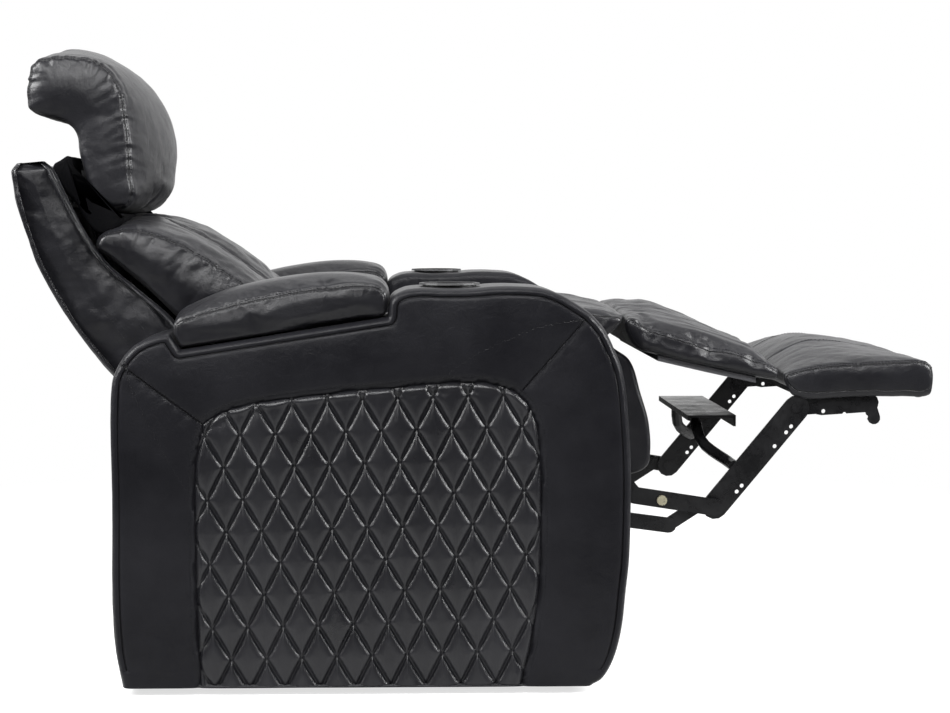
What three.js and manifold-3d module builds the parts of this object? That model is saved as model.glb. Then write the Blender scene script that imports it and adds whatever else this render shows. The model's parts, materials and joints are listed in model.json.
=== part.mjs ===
// A home-cinema recliner with its footrest out: arms on the floor, a seat carriage that glides between
// them, a folding leg rest, a hinged back and a tilting headrest.
// Millimetres. +X is the way the sitter faces, +Y is the sitter's left, +Z is up.
import * as THREE from 'three';
import { mergeVertices } from 'three/addons/utils/BufferGeometryUtils.js';
import Module from 'manifold-3d';

const wasm = await Module();
wasm.setup();

// Driving sizes of the whole seat. Side-view places are measured from the rear foot of the arms.
const armLength = 814;
const armHeight = 629;
const armWidth = 152;
const innerWidth = 560;
const glideHeight = 12;
const glideRadius = 18;
const seatTravel = 90;

// Clearances.
const touch = 0.3;
const sideGap = 3;
const overrun = 5;
const pinPlay = 0.5;
const elbowPlay = 1.5;
const rodEyePlay = 3.4;

// Arms.
const armEdge = 13;
const glideInset = 60;
const lidSetIn = 6;
const lidLength = 339.5;
const lidHeight = 116;
const lidRear = 94.5;
const lidSink = 98;
const lidEdge = 11;
const lidBarrelRadius = 6;
const lidBarrelLength = 64;
const lidHingeSetback = 12.5;
const binRear = 152;
const binLength = 240;
const binDepth = 118;
const binSetIn = 20;
const binWall = 3;
const binSink = 229;
const cupX = 530;
const cupRadius = 43;
const cupDepth = 72;
const cupWall = 2;
const cupRim = 49;
const cupRimHeight = 3;
const quiltRear = 127;
const quiltBottom = 8;
const quiltLength = 548;
const quiltHeight = 474;
const quiltInset = 8;
const diamondWide = 53;
const diamondTall = 101;
const diamondRise = 6.5;
const diamondSeam = 3.5;
const diamondLean = 3.7;

// Base between the arms.
const railBottom = 40;
const railHeight = 30;
const railWidth = 28;
const railRear = 80;
const railFront = 735;
const baseTubeRadius = 12;
const baseTubeRear = 130;
const baseTubeFront = 690;
const tubeWall = 2;
const rearPanelThickness = 16;
const rearPanelSetIn = 6;
const rearPanelBottom = 25;
const rearPanelTop = 335;
const supplyLength = 130;
const supplyWidth = 62;
const supplyHeight = 34;
const supplySide = 150;
const inletWidth = 26;
const inletHeight = 20;
const inletDepth = 12;

// Control panel and its buttons on the inner face of the right arm.
const panelX = 610;
const panelDrop = 54;
const panelLength = 112;
const panelHeight = 30;
const panelThickness = 3;
const panelPocket = 14;
const buttonRadius = 6.5;
const buttonCap = 2.2;
const buttonStem = 7;
const buttonFlange = 2;
const buttonFlangeLip = 1.8;
const buttonPitch = 25;
const buttonCount = 4;

// Seat carriage.
const sheetThickness = 4;
const layerPitch = 6;
const sidePlateRear = 185;
const sidePlateLength = 577;
const sidePlateHeight = 408;
const shoeLength = 250;
const shoeRear = 300;
const shoeHeight = 22;
const middleTubeX = 520;
const middleTubeZ = 330;
const lowTubeZ = 150;
const deckRear = 345;
const deckFront = 680;
const deckRearZ = 424;
const deckFrontZ = 447;
const deckRail = 20;
const ribCount = 4;
const ribPitch = 120;
const seatRear = 333;
const seatLength = 493;
const seatHeight = 146;
const seatBottom = 437;
const seatCrown = 13;
const seatSetIn = 5;
const pocketFront = 785;
const apronTravel = 76;
const pocketDrop = 53;
const pocketLip = 17;
const padEdge = 16;

// Footrest linkage: pivots in the side view.
const calfHinge = [827, 572];
const ottomanHinge = [1086, 476];
const drivePivot = [707, 430];
const elbowPivot = [974, 256];
const bracketPivot = [1110, 420];
const crankPoint = [839, 277];
const shortLinkTop = [950, 262];
const shortLinkBottom = [896, 227];
const linkWidth = 28;
const longLinkWidth = 42;
const shortLinkWidth = 22;
const pinRadius = 5;
const pinHeadRadius = 8.5;
const pinHeadHeight = 1.2;
const holeRadius = 3.6;
const boltRadius = 8.5;
const boltHeight = 5;
const boltPlace = [884, 269];
const calfLength = 255;
const calfHeight = 118;
const calfCrown = 15;
const boardThickness = 9;
const ottomanLength = 251;
const ottomanHeight = 60;
const ottomanCrown = 27;
const ottomanSeam = 92;
const seamDip = 4;
const seamHalf = 9;
const bracketTail = [1232, 428];
const bracketTip = [1240, 402];
const bracketWidth = 26;
const platformX = 984;
const platformLength = 78;
const platformSetIn = 110;
const platformFlange = 15;
const bentTubeRadius = 9.5;
const bentTubeStart = [1007, 323];
const bentTubeRiser = [973, 350];
const bentTubeTop = [966, 386];
const bentTubeSetIn = 150;
const apronRear = 768;
const apronLength = 105;
const apronBottom = 304;
const apronSetIn = 28;

// Back and headrest.
const backHinge = [205, 430];
const shellRear = -184;
const shellBottom = 375;
const shellLength = 312;
const shellHeight = 455;
const wingThickness = 27;
const backCushionRear = -47.5;
const backCushionBottom = 490;
const backCushionLength = 314;
const backCushionHeight = 225;
const backCushionSetIn = 12.7;
const backCrown = 27;
const backPanelHalf = 120;
const neckRear = -116;
const neckBottom = 700;
const neckLength = 116;
const neckHeight = 124;
const neckSetIn = 20;
const frameTube = [165, 425];
const frameBend = [60, 470];
const frameMiddle = [-20, 560];
const frameTop = [-110, 760];
const frameSetIn = 60.7;
const frameBar = 24;
const leverPin = [190, 340];
const leverSide = 60;
const headHinge = [-84, 790];
const headRear = -161;
const headBottom = 752;
const headLength = 168;
const headHeight = 249;
const headSetIn = 55;
const headCrown = 34;

// Actuators.
const actuatorSide = -60;
const actuatorRadius = 17;
const rodRadius = 9;
const motorRadius = 26;
const motorLength = 120;
const mainTubeRear = 190;
const mainTubeFront = 400;
const eyeRadius = 19;

const outer = innerWidth / 2 + armWidth;
const inner = innerWidth / 2;
const armMiddle = (outer + inner) / 2;
const plateOuter = inner - sideGap;
const layer = (step) => [plateOuter - sheetThickness - step * layerPitch, plateOuter - step * layerPitch];
const shellHalf = layer(1)[0] - touch;
const seatHalf = layer(0)[0] - seatSetIn;
const apronHalf = seatHalf - apronSetIn;
const backCushionHalf = shellHalf - backCushionSetIn;
const frameSide = shellHalf - frameSetIn;
const neckHalf = frameSide - neckSetIn;
const headHalf = inner - headSetIn;
const platformHalf = inner - platformSetIn;
const bentTubeTurnIn = inner - bentTubeSetIn;
const lidWidth = armWidth - 2 * lidSetIn;
const binWidth = armWidth - 2 * binSetIn;
const lidBottom = armHeight - lidSink;
const lidHingeX = lidRear - lidHingeSetback;
const binFloor = armHeight - binSink;
const panelZ = armHeight - panelDrop;
const pocketCeiling = calfHinge[1] - pocketDrop;

// Materials.
function surface(color, roughness, metalness) {
  return new THREE.MeshStandardMaterial({ color, roughness, metalness });
}
const leather = () => surface(0x26262a, 0.42, 0);
const blackSteel = () => surface(0x1a1a1b, 0.45, 0.6);
const zinc = () => surface(0xb9b08c, 0.32, 1);
const blackPlastic = () => surface(0x141415, 0.5, 0);
const chrome = () => surface(0xb8bcc2, 0.15, 1);
const boardCloth = () => surface(0x55565a, 0.9, 0);

// Solids. A point is [x, z] in the side view; a slab is a side-view outline given a width along Y.
function fromShares(shares, x, z, length, height) {
  return shares.map(([u, w]) => [x + u * length, z + w * height]);
}

function slab(points, yLow, yHigh, edge = 0) {
  const shape = new THREE.Shape(points.map(([x, z]) => new THREE.Vector2(x, z)));
  const geometry = new THREE.ExtrudeGeometry(shape, {
    depth: yHigh - yLow - 2 * edge,
    bevelEnabled: edge > 0,
    bevelThickness: edge,
    bevelSize: edge,
    bevelOffset: -edge,
    bevelSegments: 2,
    curveSegments: 6,
    steps: 1,
  });
  geometry.rotateX(Math.PI / 2);
  geometry.translate(0, yHigh - edge, 0);
  return geometry;
}

function sideSlab(points, side, near, far, edge = 0) {
  return slab(points, Math.min(side * near, side * far), Math.max(side * near, side * far), edge);
}

function block(xLow, xHigh, yLow, yHigh, zLow, zHigh) {
  const geometry = new THREE.BoxGeometry(xHigh - xLow, yHigh - yLow, zHigh - zLow);
  return geometry.translate((xLow + xHigh) / 2, (yLow + yHigh) / 2, (zLow + zHigh) / 2);
}

function sideBlock(xLow, xHigh, side, near, far, zLow, zHigh) {
  const [yLow, yHigh] = [Math.min(side * near, side * far), Math.max(side * near, side * far)];
  return block(xLow, xHigh, yLow, yHigh, zLow, zHigh);
}

function rodAcross([x, z], radius, yFrom, yTo, sides = 14) {
  const geometry = new THREE.CylinderGeometry(radius, radius, Math.abs(yTo - yFrom), sides);
  return geometry.translate(x, (yFrom + yTo) / 2, z);
}

function rodBetween(from, to, radius, sides = 14) {
  const start = new THREE.Vector3(...from);
  const along = new THREE.Vector3(...to).sub(start);
  const geometry = new THREE.CylinderGeometry(radius, radius, along.length(), sides);
  const turn = new THREE.Quaternion();
  turn.setFromUnitVectors(new THREE.Vector3(0, 1, 0), along.clone().normalize());
  geometry.applyQuaternion(turn);
  const middle = start.addScaledVector(along, 1 / 2);
  return geometry.translate(middle.x, middle.y, middle.z);
}

// A flat bar with round ends from one side-view point to another.
function bar([x1, z1], [x2, z2], width, side, near, far) {
  const angle = Math.atan2(z2 - z1, x2 - x1);
  const steps = 6;
  const points = [];
  for (let i = 0; i <= steps; i += 1) {
    const turn = angle + Math.PI / 2 + (Math.PI * i) / steps;
    points.push([x1 + (Math.cos(turn) * width) / 2, z1 + (Math.sin(turn) * width) / 2]);
  }
  for (let i = 0; i <= steps; i += 1) {
    const turn = angle - Math.PI / 2 + (Math.PI * i) / steps;
    points.push([x2 + (Math.cos(turn) * width) / 2, z2 + (Math.sin(turn) * width) / 2]);
  }
  return sideSlab(points, side, near, far);
}

function solid(geometry) {
  if (!geometry.isBufferGeometry) return geometry;
  const bare = geometry.clone();
  bare.deleteAttribute('normal');
  bare.deleteAttribute('uv');
  const merged = mergeVertices(bare, touch / 300);
  return new wasm.Manifold(new wasm.Mesh({
    numProp: 3,
    vertProperties: new Float32Array(merged.attributes.position.array),
    triVerts: new Uint32Array(merged.index.array),
  }));
}

const join = (...shapes) => shapes.map(solid).reduce((whole, shape) => whole.add(shape));
const cut = (shape, ...tools) => tools.map(solid).reduce((whole, tool) => whole.subtract(tool), solid(shape));

function toGeometry(shape) {
  if (shape.isBufferGeometry) return shape;
  const data = shape.getMesh();
  const geometry = new THREE.BufferGeometry();
  geometry.setAttribute('position', new THREE.BufferAttribute(data.vertProperties, 3));
  geometry.setIndex(new THREE.BufferAttribute(data.triVerts, 1));
  geometry.computeVertexNormals();
  return geometry;
}

// A moving body is a group standing at its pivot; its pieces are given in side-view places.
function bodyAt(parent, x = 0, z = 0) {
  const group = new THREE.Group();
  const origin = parent ? parent.userData.place : new THREE.Vector3();
  group.userData.place = new THREE.Vector3(x, 0, z);
  group.position.subVectors(group.userData.place, origin);
  if (parent) parent.add(group);
  return group;
}

function add(body, name, shape, material) {
  const piece = new THREE.Mesh(toGeometry(shape), material);
  piece.name = name;
  piece.position.copy(body.userData.place).negate();
  body.add(piece);
}

const sides = [['right', -1], ['left', 1]];

// A stuffed pad: rings of one side-view outline set along Y. The outline draws in near both ends, and its
// face, the run of points from faceFrom to faceTo, swells by the crown and dips along each seam.
function pad({ outline, half, edge, crown, face, seams = [], rings = 7 }) {
  const count = outline.length;
  const area = THREE.ShapeUtils.area(outline.map(([x, z]) => new THREE.Vector2(x, z)));
  const turn = Math.sign(area);
  const normals = outline.map((point, i) => {
    const before = outline[(i + count - 1) % count];
    const after = outline[(i + 1) % count];
    const normal = new THREE.Vector2(after[1] - before[1], before[0] - after[0]);
    return normal.normalize().multiplyScalar(turn);
  });
  const [faceFrom, faceTo] = face;
  const faceShare = outline.map((point, i) => {
    const along = (i - faceFrom) / (faceTo - faceFrom);
    return along > 0 && along < 1 ? Math.sqrt(Math.sin(Math.PI * along)) : 0;
  });
  const stations = [];
  const endShares = [[0, 1], [0.12, 0.5], [0.45, 0.15], [1, 0]];
  endShares.forEach(([out, draw]) => stations.push([-half + out * edge, draw * edge * 0.7]));
  for (let i = 1; i < rings; i += 1) stations.push([-half + edge + ((half - edge) * 2 * i) / rings, 0]);
  seams.forEach((seam) => [-seamHalf, 0, seamHalf].forEach((step) => stations.push([seam + step, 0])));
  endShares.forEach(([out, draw]) => stations.push([half - out * edge, draw * edge * 0.7]));
  stations.sort((a, b) => a[0] - b[0]);
  const positions = [];
  stations.forEach(([y, drawn]) => {
    const swell = crown * (1 - Math.abs(y / half) ** 2.2);
    const dip = seams.some((seam) => Math.abs(y - seam) < seamHalf / 2) ? seamDip : 0;
    outline.forEach(([x, z], i) => {
      const push = faceShare[i] * (swell - dip) - drawn;
      positions.push(x + normals[i].x * push, y, z + normals[i].y * push);
    });
  });
  const faces = [];
  for (let row = 0; row < stations.length - 1; row += 1) {
    for (let i = 0; i < count; i += 1) {
      const a = row * count + i;
      const b = row * count + ((i + 1) % count);
      faces.push(a, b, b + count, a, b + count, a + count);
    }
  }
  const flat = outline.map(([x, z]) => new THREE.Vector2(x, z));
  const last = (stations.length - 1) * count;
  THREE.ShapeUtils.triangulateShape(flat, []).forEach((corner) => {
    const wound = Math.sign(THREE.ShapeUtils.area(corner.map((i) => flat[i])));
    const [a, b, c] = wound === turn ? corner : corner.reverse();
    faces.push(c, b, a, last + a, last + b, last + c);
  });
  if (turn > 0) faces.reverse();
  const geometry = new THREE.BufferGeometry();
  geometry.setAttribute('position', new THREE.Float32BufferAttribute(positions, 3));
  geometry.setIndex(faces);
  geometry.computeVertexNormals();
  return geometry;
}

// Shares of a part's own width, radius or length.
const glideTopShare = 0.85;
const buttonFaceShares = { rim: 0.7, radius: 0.8, middle: 0.9 };
const bracketTipShare = 0.8;
const braceShare = 1.2;
const bracketReachShare = 0.6;
const longHoleShares = [0.2, 0.26, 0.66, 0.8, 0.86];
const longHoleSideShare = 0.3;
const lowerLinkShare = 0.9;
const weldShare = 0.9;
const lugShare = 0.7;
const rodEyeShare = 0.75;
const ottomanHingeShare = 0.6;
const boreEndShare = 1.1;
const headEdgeShare = 1.3;
const leverLayerShares = [2.5, 3.2];

const armRearShares = [[0.0184, 0], [0.0046, 0.0986], [0, 0.48]];
const armRearTopShares = [
  [0, 0.742], [0.0117, 0.798], [0.0455, 0.854], [0.0713, 0.871], [0.112, 0.884], [0.133, 0.84],
];
const armShares = [
  ...armRearShares, ...armRearTopShares, [0.537, 0.918], [0.5415, 0.973], [0.559, 0.991], [0.586, 1], [0.785, 1],
  [0.829, 0.994], [0.865, 0.976], [0.919, 0.935], [0.946, 0.893], [0.968, 0.836], [0.988, 0.749],
  [0.994, 0.669], [1, 0.542], [1, 0.432], [0.99, 0.232], [0.971, 0.0763], [0.942, 0.0111], [0.926, 0],
];
const lidShares = [
  [0.0386, 0], [0.99, 0.431], [1, 0.784], [0.968, 0.897], [0.891, 0.974], [0.753, 1], [0.517, 0.931],
  [0.281, 0.797], [0.0957, 0.595], [0, 0.353],
];
const quiltShares = [
  [0.0137, 0], [0, 0.62], [0.0037, 0.736], [0.0237, 0.861], [0.0438, 0.877], [0.0912, 0.907],
  [0.212, 0.939], [0.367, 0.962], [0.763, 1], [0.84, 0.997], [0.912, 0.973], [0.96, 0.928], [0.985, 0.859],
  [0.996, 0.755], [1, 0.479], [0.991, 0.27], [0.973, 0.131], [0.943, 0.0063],
];

const armOutline = fromShares(armShares, 0, 0, armLength, armHeight);
const armRearTop = fromShares(armRearTopShares, 0, 0, armLength, armHeight);
const lidOutline = fromShares(lidShares, lidRear, lidBottom, lidLength, lidHeight);

function grown(points, by) {
  const middle = points.reduce((sum, [x, z]) => [sum[0] + x / points.length, sum[1] + z / points.length], [0, 0]);
  return points.map(([x, z]) => {
    const away = new THREE.Vector2(x - middle[0], z - middle[1]).normalize().multiplyScalar(by);
    return [x + away.x, z + away.y];
  });
}

function armBody(side) {
  const binBox = sideBlock(
    binRear, binRear + binLength, side, armMiddle - binWidth / 2, armMiddle + binWidth / 2, binFloor, armHeight * 2,
  );
  const quiltOutline = fromShares(quiltShares, quiltRear, quiltBottom, quiltLength, quiltHeight);
  const tools = [
    binBox,
    sideSlab(grown(lidOutline, touch * 4), side, inner - overrun, outer + overrun),
    sideSlab(grown(quiltOutline, touch * 4), side, outer - quiltInset - touch, outer + overrun),
    new THREE.CylinderGeometry(cupRadius + touch, cupRadius + touch, cupDepth * 2, 28)
      .rotateX(Math.PI / 2)
      .translate(cupX, side * armMiddle, armHeight),
  ];
  if (side < 0) {
    tools.push(sideBlock(
      panelX - panelLength / 2 - touch, panelX + panelLength / 2 + touch, side,
      inner - overrun, inner + panelThickness + touch,
      panelZ - panelHeight / 2 - touch, panelZ + panelHeight / 2 + touch,
    ), sideBlock(
      panelX - panelLength / 2 + armEdge / 2, panelX + panelLength / 2 - armEdge / 2,
      side, inner - overrun, inner + panelPocket,
      panelZ - panelHeight / 2 + armEdge / 3, panelZ + panelHeight / 2 - armEdge / 3,
    ));
  }
  return cut(sideSlab(armOutline, side, inner, outer, armEdge), ...tools);
}

// A field of low four-sided pyramids, trimmed to the panel's outline. On a grid of half diamonds every
// other crossing is a stitch point and the ones between are peaks, so each square folds along a seam.
function quilt(side) {
  const outline = fromShares(quiltShares, quiltRear, quiltBottom, quiltLength, quiltHeight);
  const base = outer - quiltInset;
  const seam = outer - diamondSeam;
  const columns = Math.ceil((quiltLength * 2) / diamondWide) + 2;
  const rows = Math.ceil((quiltHeight * 2) / diamondTall) + 2;
  const positions = [];
  const index = (column, row) => row * (columns + 1) + column;
  for (let row = 0; row <= rows; row += 1) {
    for (let column = 0; column <= columns; column += 1) {
      const rise = (row + column) % 2 ? diamondRise : 0;
      const lean = (diamondLean * (rows - row)) / 2;
      const x = quiltRear - diamondWide / 2 - diamondLean * 3 + (column * diamondWide) / 2 + lean;
      positions.push(x, side * (seam + rise), quiltBottom - diamondTall / 3 + (row * diamondTall) / 2);
    }
  }
  const faces = [];
  for (let row = 0; row < rows; row += 1) {
    for (let column = 0; column < columns; column += 1) {
      const a = index(column, row);
      const b = index(column + 1, row);
      const c = index(column + 1, row + 1);
      const d = index(column, row + 1);
      if ((row + column) % 2) faces.push(a, b, d, b, c, d);
      else faces.push(a, b, c, a, c, d);
    }
  }
  const rim = [];
  for (let column = 0; column < columns; column += 1) rim.push(index(column, 0));
  for (let row = 0; row < rows; row += 1) rim.push(index(columns, row));
  for (let column = columns; column > 0; column -= 1) rim.push(index(column, rows));
  for (let row = rows; row > 0; row -= 1) rim.push(index(0, row));
  const back = positions.length / 3;
  rim.forEach((i) => positions.push(positions[3 * i], side * (base - quiltInset), positions[3 * i + 2]));
  const middle = positions.length / 3;
  positions.push(quiltRear + quiltLength / 2, side * (base - quiltInset), quiltBottom + quiltHeight / 2);
  rim.forEach((i, k) => {
    const next = (k + 1) % rim.length;
    faces.push(i, back + k, back + next, i, back + next, rim[next]);
    faces.push(middle, back + next, back + k);
  });
  if (side > 0) faces.reverse();
  const field = new THREE.BufferGeometry();
  field.setAttribute('position', new THREE.Float32BufferAttribute(positions, 3));
  field.setIndex(faces);
  return solid(field).intersect(solid(sideSlab(outline, side, base, outer + diamondRise * 2)));
}

const armTopAt = (x) => {
  const next = armRearTop.findIndex((point) => point[0] > x);
  const [x1, z1] = armRearTop[next - 1];
  const [x2, z2] = armRearTop[next];
  return z1 + ((z2 - z1) * (x - x1)) / (x2 - x1);
};
const lidHinge = [lidHingeX, armTopAt(lidHingeX) + touch + lidBarrelRadius + lidEdge / 10];

function lid(side) {
  const low = armMiddle - lidWidth / 2;
  const high = armMiddle + lidWidth / 2;
  const middle = side * armMiddle;
  const barrel = rodAcross(lidHinge, lidBarrelRadius, middle - lidBarrelLength / 2, middle + lidBarrelLength / 2);
  const leaf = block(
    lidHinge[0], lidHinge[0] + lidEdge * 4, middle - lidBarrelLength / 2, middle + lidBarrelLength / 2,
    lidHinge[1], lidHinge[1] + lidBarrelRadius,
  );
  return join(sideSlab(lidOutline, side, low, high, lidEdge), barrel, leaf);
}

function bin(side) {
  const low = armMiddle - binWidth / 2 + touch;
  const high = armMiddle + binWidth / 2 - touch;
  const box = sideBlock(
    binRear + touch, binRear + binLength - touch, side, low, high, binFloor + touch, binFloor + binDepth,
  );
  const room = sideBlock(
    binRear + binWall, binRear + binLength - binWall, side, low + binWall, high - binWall,
    binFloor + binWall, binFloor + binDepth * 2,
  );
  return cut(box, room);
}

function cup(side) {
  const floor = armHeight - cupDepth + touch;
  const profile = [
    [0, floor], [cupRadius - cupWall, floor], [cupRadius, floor + cupWall], [cupRadius, armHeight + touch],
    [cupRim, armHeight + touch], [cupRim - cupWall / 2, armHeight + cupRimHeight],
    [cupRadius - cupWall, armHeight + cupRimHeight], [cupRadius - 2 * cupWall, floor + 2 * cupWall],
    [0, floor + cupWall],
  ];
  const geometry = new THREE.LatheGeometry(profile.map(([r, z]) => new THREE.Vector2(r, z)), 28);
  return geometry.rotateX(Math.PI / 2).translate(cupX, side * armMiddle, 0);
}

const whole = new THREE.Group();
whole.name = 'cinema_recliner_seat';
const base = bodyAt(null);
whole.add(base);

sides.forEach(([name, side]) => {
  add(base, `arm_${name}`, armBody(side), leather());
  add(base, `quilted_panel_${name}`, quilt(side), leather());
  add(base, `storage_bin_${name}`, bin(side), blackPlastic());
  add(base, `cup_holder_${name}`, cup(side), blackPlastic());
  const railOuter = inner - touch;
  add(base, `base_rail_${name}`, cut(
    sideBlock(railRear, railFront, side, railOuter - railWidth, railOuter, railBottom, railBottom + railHeight),
    sideBlock(
      railRear - overrun, railFront + overrun, side, railOuter - railWidth + tubeWall, railOuter - tubeWall,
      railBottom + tubeWall, railBottom + railHeight - tubeWall,
    ),
  ), blackSteel());
  [['front', armLength - glideInset * 2], ['rear', glideInset]].forEach(([place, x]) => {
    const glide = new THREE.CylinderGeometry(glideRadius, glideRadius * glideTopShare, glideHeight - touch, 20);
    glide.rotateX(Math.PI / 2).translate(x, side * armMiddle, -glideHeight / 2 - touch / 2);
    add(base, `floor_glide_${place}_${name}`, glide, blackPlastic());
  });
});

const railInner = inner - railWidth - 2 * touch;
[['front', baseTubeFront], ['rear', baseTubeRear]].forEach(([place, x]) => {
  const middle = [x, railBottom + railHeight / 2];
  add(base, `base_tube_${place}`, cut(
    rodAcross(middle, baseTubeRadius, -railInner, railInner),
    rodAcross(middle, baseTubeRadius - tubeWall, -railInner - overrun, railInner + overrun),
  ), blackSteel());
});
add(base, 'rear_panel', block(
  rearPanelSetIn, rearPanelSetIn + rearPanelThickness, touch - inner, inner - touch, rearPanelBottom, rearPanelTop,
), leather());

// The seat drive: a gear motor and screw tube on the rear base tube.
const baseTubeZ = railBottom + railHeight / 2;
add(base, 'seat_drive', cut(
  join(
    rodBetween([mainTubeRear, actuatorSide, lowTubeZ], [mainTubeFront, actuatorSide, lowTubeZ], actuatorRadius),
    rodBetween(
      [mainTubeRear + motorRadius, actuatorSide, lowTubeZ],
      [mainTubeRear + motorRadius, actuatorSide + motorLength, lowTubeZ], motorRadius,
    ),
    bar([baseTubeRear, baseTubeZ], [mainTubeRear + actuatorRadius, lowTubeZ], eyeRadius * 2, 1,
      actuatorSide - rodRadius, actuatorSide + rodRadius),
  ),
  rodAcross([baseTubeRear, baseTubeZ], baseTubeRadius + touch, actuatorSide - motorRadius, actuatorSide + motorRadius),
  rodBetween(
    [mainTubeRear + motorRadius * 2, actuatorSide, lowTubeZ],
    [mainTubeFront + overrun, actuatorSide, lowTubeZ], rodRadius + pinPlay,
  ),
), blackPlastic());
const supplyX = baseTubeRear + baseTubeRadius + touch;
add(base, 'power_supply', cut(
  block(
    rearPanelSetIn + rearPanelThickness + touch, supplyX - 2 * baseTubeRadius - 2 * touch,
    supplySide - supplyLength / 2, supplySide + supplyLength / 2, baseTubeZ, baseTubeZ + supplyWidth,
  ),
  block(
    supplyX - 2 * baseTubeRadius - inletDepth, supplyX,
    supplySide - inletWidth / 2, supplySide + inletWidth / 2,
    baseTubeZ + supplyHeight, baseTubeZ + supplyHeight + inletHeight,
  ),
), blackPlastic());

// Control panel: a plate over a pocket in the right arm, with flanged push buttons behind its holes.
const buttonXs = Array.from({ length: buttonCount }, (_, i) => panelX + (i - (buttonCount - 1) / 2) * buttonPitch);
const panelBack = -inner - panelThickness;
add(base, 'control_panel', cut(
  block(
    panelX - panelLength / 2, panelX + panelLength / 2, panelBack, panelBack + panelThickness,
    panelZ - panelHeight / 2, panelZ + panelHeight / 2,
  ),
  ...buttonXs.map((x) => rodAcross(
    [x, panelZ], buttonRadius + touch, panelBack - overrun, panelBack + panelThickness + overrun, 20,
  )),
), blackPlastic());
['open', 'close', 'back_up', 'back_down'].forEach((name, i) => {
  const body = bodyAt(base, buttonXs[i], panelZ);
  const flangeTop = panelBack - touch;
  const profile = [
    [0, flangeTop - buttonStem], [buttonRadius, flangeTop - buttonStem],
    [buttonRadius, flangeTop - buttonFlange], [buttonRadius + buttonFlangeLip, flangeTop - buttonFlange],
    [buttonRadius + buttonFlangeLip, flangeTop], [buttonRadius, flangeTop],
    [buttonRadius, panelBack + panelThickness + buttonCap * buttonFaceShares.rim],
    [buttonRadius * buttonFaceShares.radius, panelBack + panelThickness + buttonCap],
    [0, panelBack + panelThickness + buttonCap * buttonFaceShares.middle],
  ];
  const geometry = new THREE.LatheGeometry(profile.map(([r, y]) => new THREE.Vector2(r, y)), 20);
  add(body, `button_${name}`, geometry.translate(buttonXs[i], 0, panelZ), chrome());
});

sides.forEach(([name, side]) => {
  const body = bodyAt(base, ...lidHinge);
  add(body, `arm_lid_${name}`, lid(side), leather());
});

// Seat carriage.
const carriage = bodyAt(base, middleTubeX, middleTubeZ);
const railTop = railBottom + railHeight;
const sidePlateShares = [
  [0, 0.81], [0, 0.93], [0.08, 0.965], [0.96, 1], [1, 0.93], [1, 0.86], [0.93, 0.81], [0.84, 0.7],
  [0.72, 0.4], [0.66, 0.02], [0.64, 0], [0.2, 0], [0.17, 0.05], [0.1, 0.6],
];
const shoeTop = railTop + touch + shoeHeight;
sides.forEach(([name, side]) => {
  const outline = fromShares(sidePlateShares, sidePlateRear, railTop + touch, sidePlateLength, sidePlateHeight);
  const pins = [drivePivot, lowerPivot(), backHinge].map((pivot) => pinThrough(pivot, side, 0, 1));
  const shoe = sideBlock(
    shoeRear, shoeRear + shoeLength, side, inner - touch - railWidth, plateOuter, railTop + touch, shoeTop,
  );
  add(carriage, `seat_side_plate_${name}`, join(
    sideSlab(outline, side, layer(0)[0], layer(0)[1]), shoe, ...pins,
  ), blackSteel());
});

function lowerPivot() {
  return [
    drivePivot[0] + shortLinkBottom[0] - shortLinkTop[0],
    drivePivot[1] + shortLinkBottom[1] - shortLinkTop[1],
  ];
}

const tubeEnd = layer(0)[0] - touch;
[['middle', middleTubeZ], ['low', lowTubeZ]].forEach(([place, z]) => {
  add(carriage, `seat_tube_${place}`, cut(
    rodAcross([middleTubeX, z], baseTubeRadius, -tubeEnd, tubeEnd),
    rodAcross([middleTubeX, z], baseTubeRadius - tubeWall, -tubeEnd - overrun, tubeEnd + overrun),
  ), blackSteel());
});
add(carriage, 'seat_drive_rod', cut(
  join(
    rodBetween(
      [mainTubeRear + motorRadius * 2 + seatTravel + overrun, actuatorSide, lowTubeZ],
      [middleTubeX, actuatorSide, lowTubeZ], rodRadius,
    ),
    rodAcross([middleTubeX, lowTubeZ], eyeRadius, actuatorSide - rodRadius, actuatorSide + rodRadius),
  ),
  rodAcross([middleTubeX, lowTubeZ], baseTubeRadius + touch, actuatorSide - motorRadius, actuatorSide + motorRadius),
), chrome());

// The deck: a pressed sheet with stiffening ribs between a front and a rear rail.
const deckTopAt = (x) => (
  deckRearZ + deckRail / 2 + ((deckFrontZ - deckRearZ) * (x - deckRear)) / (deckFront - deckRear)
);
function deckSlab(xLow, xHigh, depth, yLow, yHigh) {
  return slab([
    [xLow, deckTopAt(xLow) - depth], [xLow, deckTopAt(xLow)], [xHigh, deckTopAt(xHigh)],
    [xHigh, deckTopAt(xHigh) - depth],
  ], yLow, yHigh);
}
function deck() {
  const half = deckRail / 2;
  const rails = [deckRear, deckFront].map((x) => deckSlab(x - half, x + half, deckRail, -tubeEnd, tubeEnd));
  const sheetHalf = tubeEnd - ribPitch / 3;
  const sheet = deckSlab(deckRear, deckFront, sheetThickness, -sheetHalf, sheetHalf);
  const ribs = Array.from({ length: ribCount }, (_, i) => {
    const y = (i - (ribCount - 1) / 2) * ribPitch;
    return deckSlab(deckRear, deckFront, half, y - sheetThickness, y + sheetThickness);
  });
  return join(...rails, sheet, ...ribs);
}
add(carriage, 'seat_deck', deck(), blackSteel());

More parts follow.
